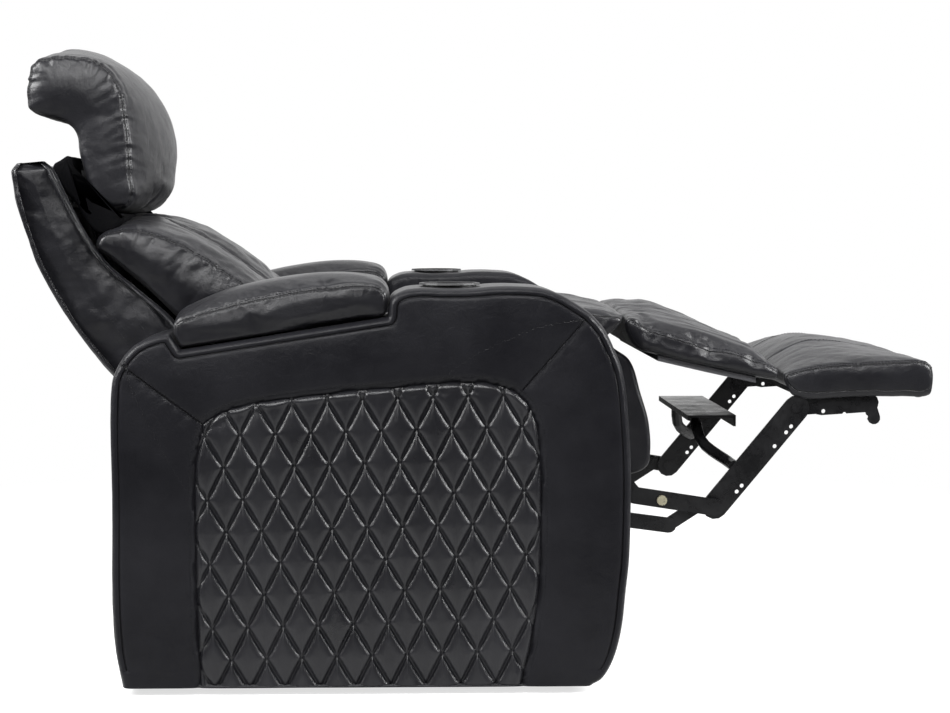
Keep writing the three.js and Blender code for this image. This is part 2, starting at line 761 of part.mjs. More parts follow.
const pocketRear = apronRear - apronTravel - sideGap;
const seatShares = [
  [0, 0.4], [0.035, 0.486], [0.197, 0.616], [0.42, 0.781], [0.643, 0.918], [0.826, 1], [0.937, 1],
];
const seatOutline = [
  ...fromShares(seatShares, seatRear, seatBottom, seatLength, seatHeight),
  [calfHinge[0] - touch, calfHinge[1]],
  [pocketFront, pocketCeiling + pocketLip],
  [pocketFront, pocketCeiling],
  [pocketRear, pocketCeiling],
  [pocketRear, deckTopAt(pocketRear) + touch],
  [seatRear, deckTopAt(seatRear) + touch],
];
add(carriage, 'seat_cushion', pad({
  outline: seatOutline, half: seatHalf, edge: padEdge, crown: seatCrown, face: [0, 7], rings: 9,
}), leather());

const apronShares = [
  [0.419, 1], [0.648, 0.913], [0.838, 0.652], [0.971, 0.424], [1, 0.196], [0.962, 0.079], [0.733, 0],
  [0.552, 0], [0.61, 0.196], [0.59, 0.424], [0.476, 0.652], [0.305, 0.82], [0.095, 0.913], [0, 0.969], [0, 1],
];
const apronHeight = pocketCeiling - touch - apronBottom;
const apron = bodyAt(carriage, apronRear, apronBottom + apronHeight);
add(apron, 'front_apron', pad({
  outline: fromShares(apronShares, apronRear, apronBottom, apronLength, apronHeight),
  half: apronHalf, edge: padEdge / 2, crown: 0, face: [0, 6], rings: 3,
}), leather());

// Leg rest: calf pad and ottoman, each a board under a stuffed pad.
const calf = bodyAt(carriage, ...calfHinge);
const calfFaceShares = [
  [0, 1], [0.122, 0.864], [0.282, 0.746], [0.522, 0.602], [0.843, 0.415], [0.973, 0.263], [1, 0.186],
  [0.984, 0.086],
];
const calfUnderShares = [[0.843, 0.14], [0.522, 0.29], [0.204, 0.45]];
const calfRearShares = [[0.051, 0.57]];
const calfRear = calfHinge[0] + touch;
const calfBottom = calfHinge[1] - calfHeight;
const calfPlace = [calfRear, calfBottom, calfLength, calfHeight];
const calfOutline = fromShares([...calfFaceShares, ...calfUnderShares, ...calfRearShares], ...calfPlace);
add(calf, 'calf_pad', pad({
  outline: calfOutline, half: seatHalf, edge: padEdge, crown: calfCrown, face: [0, 6], rings: 7,
}), leather());
const calfBoardTop = fromShares(calfUnderShares, ...calfPlace).reverse();
add(calf, 'calf_board', slab([
  ...calfBoardTop.map(([x, z]) => [x, z - touch]),
  ...calfBoardTop.map(([x, z]) => [x, z - touch - boardThickness]).reverse(),
], padEdge - seatHalf, seatHalf - padEdge), boardCloth());

const ottoman = bodyAt(calf, ...ottomanHinge);
const ottomanFaceShares = [
  [0, 0.567], [0.0837, 0.7], [0.227, 0.85], [0.474, 0.933], [0.797, 1], [0.928, 0.983], [0.984, 0.85],
  [1, 0.617], [1, 0.333], [0.964, 0.16],
];
const ottomanUnderShares = [[0.797, 0.16], [0.474, 0.13], [0.116, 0.13]];
const ottomanRearShares = [[0.0637, 0.2]];
const ottomanRear = ottomanHinge[0] + touch;
const ottomanBottom = ottomanHinge[1] - ottomanHeight * ottomanHingeShare;
const ottomanPlace = [ottomanRear, ottomanBottom, ottomanLength, ottomanHeight];
const ottomanOutline = fromShares(
  [...ottomanFaceShares, ...ottomanUnderShares, ...ottomanRearShares], ...ottomanPlace,
);
add(ottoman, 'ottoman_pad', pad({
  outline: ottomanOutline, half: seatHalf, edge: padEdge, crown: ottomanCrown, face: [0, 6],
  seams: [-ottomanSeam, ottomanSeam], rings: 7,
}), leather());
const ottomanBoardTop = fromShares(ottomanUnderShares, ...ottomanPlace).reverse();
const boardEnd = padEdge - seatHalf;
add(ottoman, 'ottoman_board', slab([
  ...ottomanBoardTop.map(([x, z]) => [x, z - touch]),
  ...ottomanBoardTop.map(([x, z]) => [x, z - touch - boardThickness]).reverse(),
], boardEnd, -boardEnd), boardCloth());

// Flat links on each side, one sheet layer apart, with a pin through each joint.
const flatHole = (point, side) => rodAcross(point, holeRadius, side * inner, side * (inner - armWidth), 10);
const pinHole = (point, side, play = pinPlay) => rodAcross(
  point, pinRadius + play, side * inner, side * (inner - armWidth), 14,
);
const between = ([x1, z1], [x2, z2], share) => [x1 + (x2 - x1) * share, z1 + (z2 - z1) * share];
const beside = ([x1, z1], [x2, z2], share, out) => {
  const [x, z] = between([x1, z1], [x2, z2], share);
  const length = Math.hypot(x2 - x1, z2 - z1);
  return [x + ((z2 - z1) / length) * out, z - ((x2 - x1) / length) * out];
};
// A riveted pin fixed in one sheet layer, through another, with a head beyond it.
function pinThrough(point, side, fromLayer, toLayer) {
  const inwards = toLayer > fromLayer;
  const root = inwards ? layer(fromLayer)[1] : layer(fromLayer)[0];
  const end = inwards ? layer(toLayer)[0] - touch : layer(toLayer)[1] + touch;
  const tip = inwards ? end - pinHeadHeight : end + pinHeadHeight;
  return join(
    rodAcross(point, pinRadius, side * root, side * tip, 14),
    rodAcross(point, pinHeadRadius, side * end, side * tip, 14),
  );
}

const bracketShares = [0.35, 0.62, 0.9];
const driveLinks = bodyAt(carriage, ...drivePivot);
const lowerLinks = bodyAt(carriage, ...lowerPivot());
const shortLinks = bodyAt(driveLinks, ...shortLinkTop);
const longLinks = bodyAt(ottoman, ...bracketPivot);
const lowerCrank = [
  crankPoint[0] + shortLinkBottom[0] - shortLinkTop[0],
  crankPoint[1] + shortLinkBottom[1] - shortLinkTop[1],
];
sides.forEach(([name, side]) => {
  const [bracketIn, bracketOut] = layer(4);
  const bracketTop = ottomanBoardTop[0][1] - 2 * touch - boardThickness;
  add(ottoman, `ottoman_bracket_${name}`, cut(
    join(
      bar(bracketPivot, bracketTail, bracketWidth, side, bracketIn, bracketOut),
      bar(bracketTail, bracketTip, bracketWidth * bracketTipShare, side, bracketIn, bracketOut),
      bar(
        between(bracketPivot, bracketTail, 1 / 3), bracketTail, bracketWidth * braceShare, side,
        bracketIn, bracketOut,
      ),
      pinThrough(bracketPivot, side, 4, 3),
    ),
    ...bracketShares.map((share) => flatHole(beside(bracketPivot, bracketTip, share, 0), side)),
    solid(block(
      bracketPivot[0] - bracketWidth * 2, bracketTip[0] + bracketWidth * 2, -inner, inner,
      bracketTop, bracketTop + bracketWidth,
    )),
  ), blackSteel());

  const [longIn, longOut] = layer(3);
  add(longLinks, `long_link_${name}`, cut(
    bar(elbowPivot, bracketPivot, longLinkWidth, side, longIn, longOut),
    pinHole(elbowPivot, side, elbowPlay),
    pinHole(bracketPivot, side),
    ...longHoleShares.map((share) => flatHole(
      beside(elbowPivot, bracketPivot, share, longLinkWidth * longHoleSideShare), side,
    )),
  ), blackSteel());

  const [driveIn, driveOut] = layer(1);
  add(driveLinks, `drive_link_${name}`, cut(
    join(
      bar(drivePivot, crankPoint, linkWidth, side, driveIn, driveOut),
      bar(crankPoint, elbowPivot, linkWidth, side, driveIn, driveOut),
      pinThrough(elbowPivot, side, 1, 3),
      pinThrough(shortLinkTop, side, 1, 2),
    ),
    pinHole(drivePivot, side),
    flatHole(boltPlace, side),
  ), blackSteel());

  const [shortIn, shortOut] = layer(2);
  add(shortLinks, `short_link_${name}`, cut(
    bar(shortLinkTop, shortLinkBottom, shortLinkWidth, side, shortIn, shortOut),
    pinHole(shortLinkTop, side),
    pinHole(shortLinkBottom, side),
  ), blackSteel());

  add(lowerLinks, `lower_link_${name}`, cut(
    join(
      bar(lowerPivot(), lowerCrank, linkWidth * lowerLinkShare, side, driveIn, driveOut),
      bar(lowerCrank, shortLinkBottom, linkWidth * lowerLinkShare, side, driveIn, driveOut),
      pinThrough(shortLinkBottom, side, 1, 2),
    ),
    pinHole(lowerPivot(), side),
  ), blackSteel());
});

// The shoulder bolt on the right drive link, its head outwards.
const boltHead = layer(1)[1] + touch;
add(driveLinks, 'shoulder_bolt', join(
  rodAcross(boltPlace, boltRadius, -boltHead, -boltHead - boltHeight, 12),
  rodAcross(boltPlace, holeRadius - touch, -boltHead, -layer(1)[0], 10),
), zinc());

// The bent tube between the long links and the plate it carries.
const longInner = layer(3)[0] - touch;
function bentTube() {
  const half = [
    [bentTubeStart, longInner], [bentTubeStart, (longInner + bentTubeTurnIn) / 2],
    [bentTubeRiser, bentTubeTurnIn], [bentTubeTop, bentTubeTurnIn - bentTubeRadius * 3],
    [bentTubeTop, bentTubeTurnIn - bentTubeRadius * 6],
  ];
  const points = [
    ...half.map(([[x, z], y]) => new THREE.Vector3(x, -y, z)),
    ...half.reverse().map(([[x, z], y]) => new THREE.Vector3(x, y, z)),
  ];
  const path = new THREE.CatmullRomCurve3(points, false, 'centripetal');
  const ring = new THREE.Shape();
  ring.absarc(0, 0, bentTubeRadius, 0, Math.PI * 2);
  return new THREE.ExtrudeGeometry(ring, { extrudePath: path, steps: 32, curveSegments: 5, bevelEnabled: false });
}
const tubeEnds = sides.map(([, side]) => solid(sideBlock(
  bentTubeStart[0] - longLinkWidth, bentTubeStart[0] + longLinkWidth, side, longInner, longInner + armWidth,
  bentTubeStart[1] - longLinkWidth, bentTubeStart[1] + longLinkWidth,
)));
const platformBase = bentTubeTop[1] + bentTubeRadius * weldShare;
const weldFlat = block(
  platformX - platformLength, platformX + platformLength, -inner, inner,
  platformBase - touch, platformBase + bentTubeRadius * 4,
);
add(longLinks, 'footrest_cross_tube', cut(bentTube(), weldFlat, ...tubeEnds), blackSteel());
const platformTop = platformBase + sheetThickness;
const platformLip = sheetThickness / 2;
add(longLinks, 'footrest_plate', join(
  block(
    platformX - platformLength / 2, platformX + platformLength / 2, -platformHalf, platformHalf,
    platformBase, platformTop,
  ),
  ...[[-1, platformFlange / 3], [1, platformFlange]].map(([end, drop]) => {
    const x = platformX + (end * platformLength) / 2;
    return block(x - platformLip, x + platformLip, -platformHalf, platformHalf, platformBase - drop, platformTop);
  }),
), blackSteel());

// Back.
const back = bodyAt(carriage, ...backHinge);
const bracketPlane = layer(1);
const shellShares = [
  [0, 0.974], [0.0224, 0.842], [0.0897, 0.705], [0.231, 0.492], [0.349, 0.367], [0.532, 0.215],
  [0.718, 0.0879], [0.91, 0], [0.981, 0.0374], [1, 0.121], [0.981, 0.275], [0.833, 0.429], [0.651, 0.538],
  [0.51, 0.622], [0.429, 0.69], [0.301, 0.851], [0.199, 0.98], [0.147, 1], [0.0801, 0.993],
];
const pocketShares = [
  [0.141, 1.07], [0.115, 0.868], [0.179, 0.727], [0.32, 0.514], [0.439, 0.389], [0.622, 0.237],
  [0.808, 0.11], [1.02, 0.02], [1.65, 0.02], [1.65, 1.07],
];
add(back, 'back_shell', cut(
  slab(fromShares(shellShares, shellRear, shellBottom, shellLength, shellHeight), -shellHalf, shellHalf, armEdge / 2),
  slab(
    fromShares(pocketShares, shellRear, shellBottom, shellLength, shellHeight),
    wingThickness - shellHalf, shellHalf - wingThickness,
  ),
), leather());
const backCushionShares = [
  [0, 0.871], [0.0096, 0.933], [0.137, 1], [0.22, 1], [0.36, 0.947], [0.5, 0.862], [0.65, 0.724],
  [0.793, 0.582], [0.927, 0.413], [1, 0.249], [0.994, 0.142], [0.911, 0.0489], [0.752, 0], [0.561, 0.16],
  [0.41, 0.37], [0.23, 0.6], [0.09, 0.77],
];
const backCushion = pad({
  outline: fromShares(
    backCushionShares, backCushionRear, backCushionBottom, backCushionLength, backCushionHeight,
  ),
  half: backCushionHalf, edge: padEdge, crown: backCrown, face: [1, 9],
  seams: [-backPanelHalf, backPanelHalf], rings: 7,
});
add(back, 'back_cushion', backCushion, leather());
const neckShares = [
  [0, 1], [0.103, 0.984], [0.276, 0.694], [0.466, 0.387], [0.828, 0.29], [1, 0.29], [0.98, 0.22],
  [0.68, 0.12], [0.64, 0.08], [0.259, 0.548],
];
add(back, 'neck_panel', cut(
  slab(fromShares(neckShares, neckRear, neckBottom, neckLength, neckHeight), -neckHalf, neckHalf),
  backCushion,
  backCushion.clone().translate(-touch * 2, 0, touch * 2),
), boardCloth());

function backFrame() {
  const pieces = [
    rodAcross(frameTube, baseTubeRadius, -bracketPlane[1], bracketPlane[1]),
    rodAcross(frameTop, baseTubeRadius, -frameSide, frameSide),
  ];
  sides.forEach(([, side]) => {
    const near = frameSide - sheetThickness;
    const far = frameSide + sheetThickness;
    pieces.push(
      bar(frameTube, frameBend, frameBar, side, near, far),
      bar(frameBend, frameMiddle, frameBar, side, near, far),
      bar(frameMiddle, frameTop, frameBar, side, near, far),
      bar(frameTop, headHinge, frameBar * lugShare, side, near, near + sheetThickness),
      rodAcross(headHinge, pinRadius, side * near, side * (far + sheetThickness * 2)),
      bar(backHinge, frameTube, linkWidth * braceShare, side, ...bracketPlane),
      bar(
        frameTube, between(frameTube, frameBend, bracketReachShare), linkWidth * braceShare, side,
        ...bracketPlane,
      ),
      bar(
        frameTube, leverPin, frameBar, 1,
        ...leverLayerShares.map((share) => leverSide + side * layerPitch * share),
      ),
    );
  });
  pieces.push(rodAcross(leverPin, pinRadius, leverSide - layerPitch * 3, leverSide + layerPitch * 3));
  return cut(join(...pieces), ...sides.map(([, side]) => pinHole(backHinge, side)));
}
add(back, 'back_frame', backFrame(), blackSteel());

// The back drive: a gear motor and screw tube hung on the middle seat tube, its rod eye on the back's lever.
const drivePoint = (share, y = leverSide) => {
  const [x, z] = between([middleTubeX, middleTubeZ], leverPin, share);
  return [x, y, z];
};
const backDrive = bodyAt(carriage, middleTubeX, middleTubeZ);
const backDriveShares = { tubeEnd: 0.7, motor: 0.22, boreStart: 0.3, rodStart: 0.5 };
add(backDrive, 'back_drive', cut(
  join(
    rodBetween(drivePoint(0), drivePoint(backDriveShares.tubeEnd), actuatorRadius),
    rodBetween(
      drivePoint(backDriveShares.motor), drivePoint(backDriveShares.motor, leverSide + motorLength), motorRadius,
    ),
    rodAcross([middleTubeX, middleTubeZ], eyeRadius, leverSide - rodRadius, leverSide + rodRadius),
  ),
  rodAcross([middleTubeX, middleTubeZ], baseTubeRadius + pinPlay, leverSide - motorRadius, leverSide + motorRadius),
  rodBetween(drivePoint(backDriveShares.boreStart), drivePoint(backDriveShares.tubeEnd * boreEndShare), rodRadius + pinPlay),
), blackPlastic());
const backRod = bodyAt(backDrive, ...leverPin);
add(backRod, 'back_drive_rod', cut(
  join(
    rodBetween(drivePoint(backDriveShares.rodStart), drivePoint(1), rodRadius),
    rodAcross(leverPin, eyeRadius * rodEyeShare, leverSide - rodRadius, leverSide + rodRadius),
  ),
  rodAcross(leverPin, pinRadius + rodEyePlay, leverSide - motorRadius, leverSide + motorRadius),
), chrome());

// Headrest: a thick hook-shaped pad on a bracket that turns on the frame's two pins.
const head = bodyAt(back, ...headHinge);
const headPlateShares = [[0.536, 0.245], [0.595, 0.0562]];
const headShares = [
  [0.637, 0.0161], [0.952, 0], [1, 0.0321], [1, 0.245], [0.988, 0.434], [0.961, 0.578], [0.929, 0.731],
  [0.845, 0.855], [0.732, 0.948], [0.595, 0.988], [0.399, 1], [0.161, 0.984], [0.0298, 0.94], [0, 0.795],
  [0, 0.655], [0.0476, 0.618], [0.244, 0.578], [0.417, 0.534], [0.476, 0.45], [0.482, 0.386],
  ...headPlateShares,
];
const headOutline = fromShares(headShares, headRear, headBottom, headLength, headHeight);
add(head, 'headrest_pad', pad({
  outline: headOutline, half: headHalf, edge: padEdge * headEdgeShare, crown: headCrown, face: [1, 12], rings: 8,
}), leather());
const headPlate = fromShares(headPlateShares, headRear, headBottom, headLength, headHeight);
function headBracket() {
  const near = frameSide + sheetThickness + touch * 2;
  const plate = slab([
    ...headPlate.map(([x, z]) => [x - touch * 2, z]),
    ...headPlate.map(([x, z]) => [x - touch * 2 - sheetThickness, z]).reverse(),
  ], -near - sheetThickness, near + sheetThickness);
  const lugs = sides.map(([, side]) => bar(
    headHinge, [headPlate[0][0] - sheetThickness, headPlate[0][1] - frameBar], frameBar * lugShare, side,
    near, near + sheetThickness,
  ));
  const front = slab([
    ...headPlate.map(([x, z]) => [x - touch * 2, z]),
    ...headPlate.map(([x, z]) => [x + headLength, z]).reverse(),
  ], -inner, inner);
  return cut(join(plate, ...lugs), front, ...sides.map(([, side]) => rodAcross(
    headHinge, pinRadius + pinPlay, side * near, side * inner,
  )));
}
add(head, 'headrest_bracket', headBracket(), blackSteel());

// The seat stands on its glides, with the middle of its footprint at the origin.
whole.updateMatrixWorld(true);
const extent = new THREE.Box3().setFromObject(whole, true);
base.position.set(-(extent.min.x + extent.max.x) / 2, 0, -extent.min.z);
whole.updateMatrixWorld(true);

export default whole;
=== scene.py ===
import json
import math

import bmesh
import bpy
import numpy as np
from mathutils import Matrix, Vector
from mathutils.bvhtree import BVHTree


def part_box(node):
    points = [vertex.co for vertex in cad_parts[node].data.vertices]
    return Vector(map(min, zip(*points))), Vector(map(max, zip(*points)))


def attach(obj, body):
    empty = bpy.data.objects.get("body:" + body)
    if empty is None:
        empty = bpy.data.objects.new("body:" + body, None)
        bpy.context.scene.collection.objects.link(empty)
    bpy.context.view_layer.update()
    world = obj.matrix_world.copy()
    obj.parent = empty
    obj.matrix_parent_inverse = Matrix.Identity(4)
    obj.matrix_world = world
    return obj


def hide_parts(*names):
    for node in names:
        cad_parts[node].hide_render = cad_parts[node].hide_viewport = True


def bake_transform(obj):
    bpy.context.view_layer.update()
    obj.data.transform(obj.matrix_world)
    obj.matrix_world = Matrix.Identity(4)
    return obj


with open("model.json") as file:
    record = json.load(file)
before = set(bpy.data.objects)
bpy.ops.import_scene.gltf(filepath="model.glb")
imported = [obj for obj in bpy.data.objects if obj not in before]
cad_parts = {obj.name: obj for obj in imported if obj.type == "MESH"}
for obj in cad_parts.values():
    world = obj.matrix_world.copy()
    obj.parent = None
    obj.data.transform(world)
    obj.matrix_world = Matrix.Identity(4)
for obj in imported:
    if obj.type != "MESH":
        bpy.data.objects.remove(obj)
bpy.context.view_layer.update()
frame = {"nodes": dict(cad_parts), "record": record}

# A home-cinema recliner, footrest out. Lengths are in metres. Side-view key points are in millimetres, measured
# from the rear foot of the arms: x towards the footrest, z up. A piece's seam value is NO_SEAM far from any seam.
MM = 0.001
ARM_LOW, ARM_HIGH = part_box("arm_right")
FOOT = np.array([ARM_LOW.x, ARM_LOW.z])
ARM_OUTER = -ARM_LOW.y
ARM_INNER = -ARM_HIGH.y
ARM_MIDDLE = (ARM_OUTER + ARM_INNER) / 2
SIDES = (("right", -1), ("left", 1))
NO_SEAM = 0.05
STITCH_PAIR = (-3.0 * MM, 3.0 * MM)


# ---- lines and noise

def in_place(points):
    """Side-view millimetres to metres: each point over 1000, plus the arm's rear foot."""
    return np.asarray(points, float) * MM + FOOT


def x_at(x):
    return x * MM + FOOT[0]


def z_at(z):
    return z * MM + FOOT[1]


def unit(v):
    return v / np.maximum(np.linalg.norm(v, axis=-1, keepdims=True), 1e-9)


def curve(keys, closed=False, sharp=(), fine=24):
    """Cubic Hermite curve through the keys. The tangent at a key points from the key before to the key after,
    as long as the stretch it belongs to; at a sharp key each stretch keeps its own direction."""
    k = np.asarray(keys, float)
    n = len(k)
    ahead = np.roll(k, -1, axis=0) - k
    if not closed:
        ahead[-1] = ahead[-2]
    behind = np.roll(ahead, 1, axis=0)
    if not closed:
        behind[0] = ahead[0]
    tangent = unit(unit(ahead) + unit(behind))
    leave, arrive = tangent.copy(), tangent.copy()
    for i in sharp:
        leave[i], arrive[i] = unit(ahead)[i], unit(behind)[i]
    stretches = n if closed else n - 1
    start = np.arange(stretches)
    end = (start + 1) % n
    length = np.linalg.norm(k[end] - k[start], axis=1, keepdims=True)
    t = np.linspace(0, 1, fine, endpoint=False)[:, None, None]
    line = ((2 * t**3 - 3 * t**2 + 1) * k[start] + (t**3 - 2 * t**2 + t) * leave[start] * length
            + (3 * t**2 - 2 * t**3) * k[end] + (t**3 - t**2) * arrive[end] * length)
    line = line.transpose(1, 0, 2).reshape(-1, k.shape[1])
    return np.vstack([line, k[:1] if closed else k[-1:]])


def run_of(line):
    """The length run along a line up to each of its points."""
    return np.r_[0, np.cumsum(np.linalg.norm(np.diff(line, axis=0), axis=1))]


def stops_on(line, run, stops):
    return np.column_stack([np.interp(stops, run, axis) for axis in line.T])


def at_share(line, shares):
    run = run_of(line)
    return stops_on(line, run, shares * run[-1])


def spaced(lines, count, closed=False):
    """Several curves with matching keys, cut at the same places so that their mean is evenly spaced."""
    run = run_of(sum(lines) / len(lines))
    stops = np.linspace(0, run[-1], count, endpoint=not closed)
    return [stops_on(line, run, stops) for line in lines]


def line_through(keys, count, closed=False, sharp=()):
    return spaced([curve(keys, closed, sharp)], count, closed)[0]


def seam_line(keys, count, y):
    """A side-view curve through the keys, in metres at width y."""
    return at_width(in_place(line_through(keys, count)), y)


def at_width(line, y):
    """A side-view line in metres set at width y."""
    return np.column_stack([line[:, 0], np.full(len(line), y), line[:, 1]])


def beside(points, line, block=4000):
    """How far each point is from a polyline, and how far along it its foot lies: the nearest of its feet on each
    stretch, kept between the stretch's ends."""
    a, b = line[:-1], line[1:]
    ab = b - a
    long = np.maximum((ab**2).sum(1), 1e-12)
    run = np.r_[0, np.cumsum(np.sqrt(long))]
    away, along = np.empty(len(points)), np.empty(len(points))
    for i in range(0, len(points), block):
        p = points[i:i + block, None, :]
        t = np.clip(((p - a) * ab).sum(2) / long, 0, 1)
        off = ((a + t[..., None] * ab - p)**2).sum(2)
        best = off.argmin(1)
        row = np.arange(len(best))
        away[i:i + block] = np.sqrt(off[row, best])
        along[i:i + block] = run[best] + t[row, best] * np.sqrt(long)[best]
    return away, along


def distance_to(points, line):
    return beside(points, line)[0]


def inside(points, loop):
    """True where a point is inside a closed side-view loop: an odd number of edges lie to its right."""
    a, b = loop, np.roll(loop, -1, axis=0)
    px, pz = points[:, :1], points[:, 1:]
    crosses = (a[:, 1] > pz) != (b[:, 1] > pz)
    rise = np.where(np.abs(b[:, 1] - a[:, 1]) < 1e-12, 1e-12, b[:, 1] - a[:, 1])
    at = a[:, 0] + (pz - a[:, 1]) * (b[:, 0] - a[:, 0]) / rise
    return (crosses & (px < at)).sum(1) % 2 == 1


def cloudy(points, size, seed=0, octaves=3):
    """Smooth noise from about -1 to 1: hashed values on a lattice of the given size, blended with 3t^2 - 2t^3,
    each further octave at half the size and half the height."""
    size = np.broadcast_to(np.asarray(size, float), (3,))
    total, height = np.zeros(len(points)), 1.0
    for octave in range(octaves):
        p = points / size * 2**octave + 17.31 * octave
        cell = np.floor(p).astype(np.int64)
        t = p - cell
        t = t * t * (3 - 2 * t)
        value = np.zeros(len(points))
        for corner in range(8):
            step = np.array([corner & 1, corner >> 1 & 1, corner >> 2 & 1])
            c = (cell + step).astype(np.uint64)
            h = c[:, 0] * np.uint64(374761393) + c[:, 1] * np.uint64(668265263) + c[:, 2] * np.uint64(2246822519)
            h = (h + np.uint64(seed * 3266489917 + octave * 97)) & np.uint64(0xFFFFFFFF)
            h = ((h ^ (h >> np.uint64(13))) * np.uint64(1274126177)) & np.uint64(0xFFFFFFFF)
            h = (h ^ (h >> np.uint64(16))) & np.uint64(0xFFFF)
            weight = np.prod(np.where(step == 1, t, 1 - t), axis=1)
            value += weight * (h.astype(float) / 32767.5 - 1)
        total += value * height
        height /= 2
    return total


def ease(value, low, high):
    """0 below low, 1 above high, 3t^2 - 2t^3 between."""
    t = np.clip((value - low) / (high - low), 0, 1)
    return t * t * (3 - 2 * t)


def bell(distance, width):
    return np.exp(-(distance / width)**2)


# ---- meshes

def grid_faces(rows, columns, wrap=False):
    """Quads of a grid of rows x columns points; wrap joins the last column to the first."""
    r = np.arange(rows - 1)[:, None] * columns
    c = np.arange(columns if wrap else columns - 1)[None, :]
    n = (c + 1) % columns
    return np.stack([r + c, r + n, r + columns + n, r + columns + c], axis=-1).reshape(-1, 4)


def signed_volume(points, quads):
    """Sum of the tetrahedra from the origin over both triangles of each quad: positive when faces point out."""
    a, b, c, d = (points[quads[:, i]] for i in range(4))
    return (np.cross(a, b) * c).sum() + (np.cross(a, c) * d).sum()


def shade_smooth(made, smooth=True):
    made.data.polygons.foreach_set("use_smooth", np.full(len(made.data.polygons), smooth))


def add_object(name, data):
    made = bpy.data.objects.new(name, data)
    bpy.context.scene.collection.objects.link(made)
    return made


def piece(name, points, quads, caps=(), smooth=True):
    """A mesh object from points, quads and end caps, with its faces pointing out."""
    mesh = bpy.data.meshes.new(name)
    mesh.from_pydata(points.tolist(), [], quads.tolist() + [list(map(int, cap)) for cap in caps])
    mesh.update()
    made = add_object(name, mesh)
    if signed_volume(points - points.mean(0), quads) < 0:
        mesh.flip_normals()
    shade_smooth(made, smooth)
    return made


def read_vectors(items, key):
    values = np.empty(len(items) * 3, np.float32)
    items.foreach_get(key, values)
    return values.reshape(-1, 3).astype(float)


def coordinates(made):
    return read_vectors(made.data.vertices, "co")


def vertex_normals(made):
    return read_vectors(made.data.vertex_normals, "vector")


def set_coordinates(made, points):
    made.data.vertices.foreach_set("co", points.astype(np.float32).ravel())
    made.data.update()


def push(made, amount):
    """Moves each point along its normal by amount, in metres."""
    set_coordinates(made, coordinates(made) + vertex_normals(made) * amount[:, None])


def apply_modifier(made, kind, **settings):
    modifier = made.modifiers.new(kind, kind)
    for key, value in settings.items():
        setattr(modifier, key, value)
    with bpy.context.temp_override(object=made, active_object=made, selected_objects=[made]):
        bpy.ops.object.modifier_apply(modifier=modifier.name)


def loft(name, side, middle, half, edge, power=2.4, rows=40, count=240, sharp=()):
    """A stuffed pad across the seat. At share v of its half width the side-view outline is
    side + (middle - side)(1 - |v|^power); within edge of each end it is drawn in along its normals by
    edge - sqrt(edge^2 - k^2), k running from 0 to edge."""
    s, m = map(in_place, spaced([curve(side, True, sharp), curve(middle, True, sharp)], count, closed=True))
    inner = half - edge
    ends = inner + edge * np.cos(np.linspace(0, math.pi / 2, 9)[:-1])
    y = np.unique(np.round(np.r_[-ends, np.linspace(-inner, inner, rows), ends], 7))
    over = np.clip((np.abs(y) - inner) / edge, 0, 1)
    pulled = edge * (1 - np.sqrt(np.maximum(1 - over**2, 0)))
    share = 1 - np.abs(y / half)**power
    line = s[None] + (m - s)[None] * share[:, None, None]
    along = np.roll(line, -1, axis=1) - np.roll(line, 1, axis=1)
    normal = unit(np.stack([along[..., 1], -along[..., 0]], axis=-1))
    spin = np.sign((s[:, 0] * np.roll(s[:, 1], -1) - np.roll(s[:, 0], -1) * s[:, 1]).sum())
    line = line - normal * spin * pulled[:, None, None]
    grid = np.stack([line[..., 0], np.broadcast_to(y[:, None], line.shape[:2]), line[..., 1]], axis=-1)
    loop = np.arange(count)
    return piece(name, grid.reshape(-1, 3), grid_faces(len(y), count, wrap=True),
                 [loop[::-1], loop + (len(y) - 1) * count])


CLOTH = dict(quality=3, mass=0.25, tension_stiffness=18, compression_stiffness=18, shear_stiffness=6,
             bending_stiffness=0.4, use_pressure=True, uniform_pressure_force=4.0, vertex_group_mass="held",
             pin_stiffness=1)
CLOTH_STEPS = 15


def plump(made, held, cap, voxel, looser):
    """Stuffs a pad: an even skin by voxel remesh, Cloth with pressure on it while the points where held is 1 stay,
    no point moving further than cap, then one subdivision. Gives the points and their normals."""
    apply_modifier(made, "REMESH", mode="VOXEL", voxel_size=voxel, use_smooth_shade=True)
    before = coordinates(made)
    grip = made.vertex_groups.new(name="held")
    weight = held(before).astype(float)
    for level in (0.25, 0.5, 0.75, 1.0):
        chosen = np.nonzero((weight > level - 0.25) & (weight <= level))[0]
        grip.add(chosen.tolist(), level, "REPLACE")
    cloth = made.modifiers.new("Cloth", "CLOTH")
    for key, value in CLOTH.items():
        setattr(cloth.settings, key, value)
    cloth.settings.shrink_min = -looser
    cloth.settings.effector_weights.gravity = 0
    cloth.collision_settings.use_collision = False
    for step in range(1, CLOTH_STEPS + 1):
        bpy.context.scene.frame_set(step)
    view = made.evaluated_get(bpy.context.evaluated_depsgraph_get())
    moved = read_vectors(view.data.vertices, "co") - before
    made.modifiers.clear()
    made.vertex_groups.clear()
    far = np.linalg.norm(moved, axis=1, keepdims=True)
    set_coordinates(made, before + moved * np.minimum(1, cap / np.maximum(far, 1e-9)))
    bpy.context.scene.frame_set(1)
    apply_modifier(made, "SUBSURF", levels=1, render_levels=1)
    shade_smooth(made)
    return coordinates(made), vertex_normals(made)


def near_line(points, keys, count, reach, sharp=()):
    """True within reach of a side-view curve through the keys."""
    return distance_to(points[:, [0, 2]], in_place(line_through(keys, count, sharp=sharp))) < reach


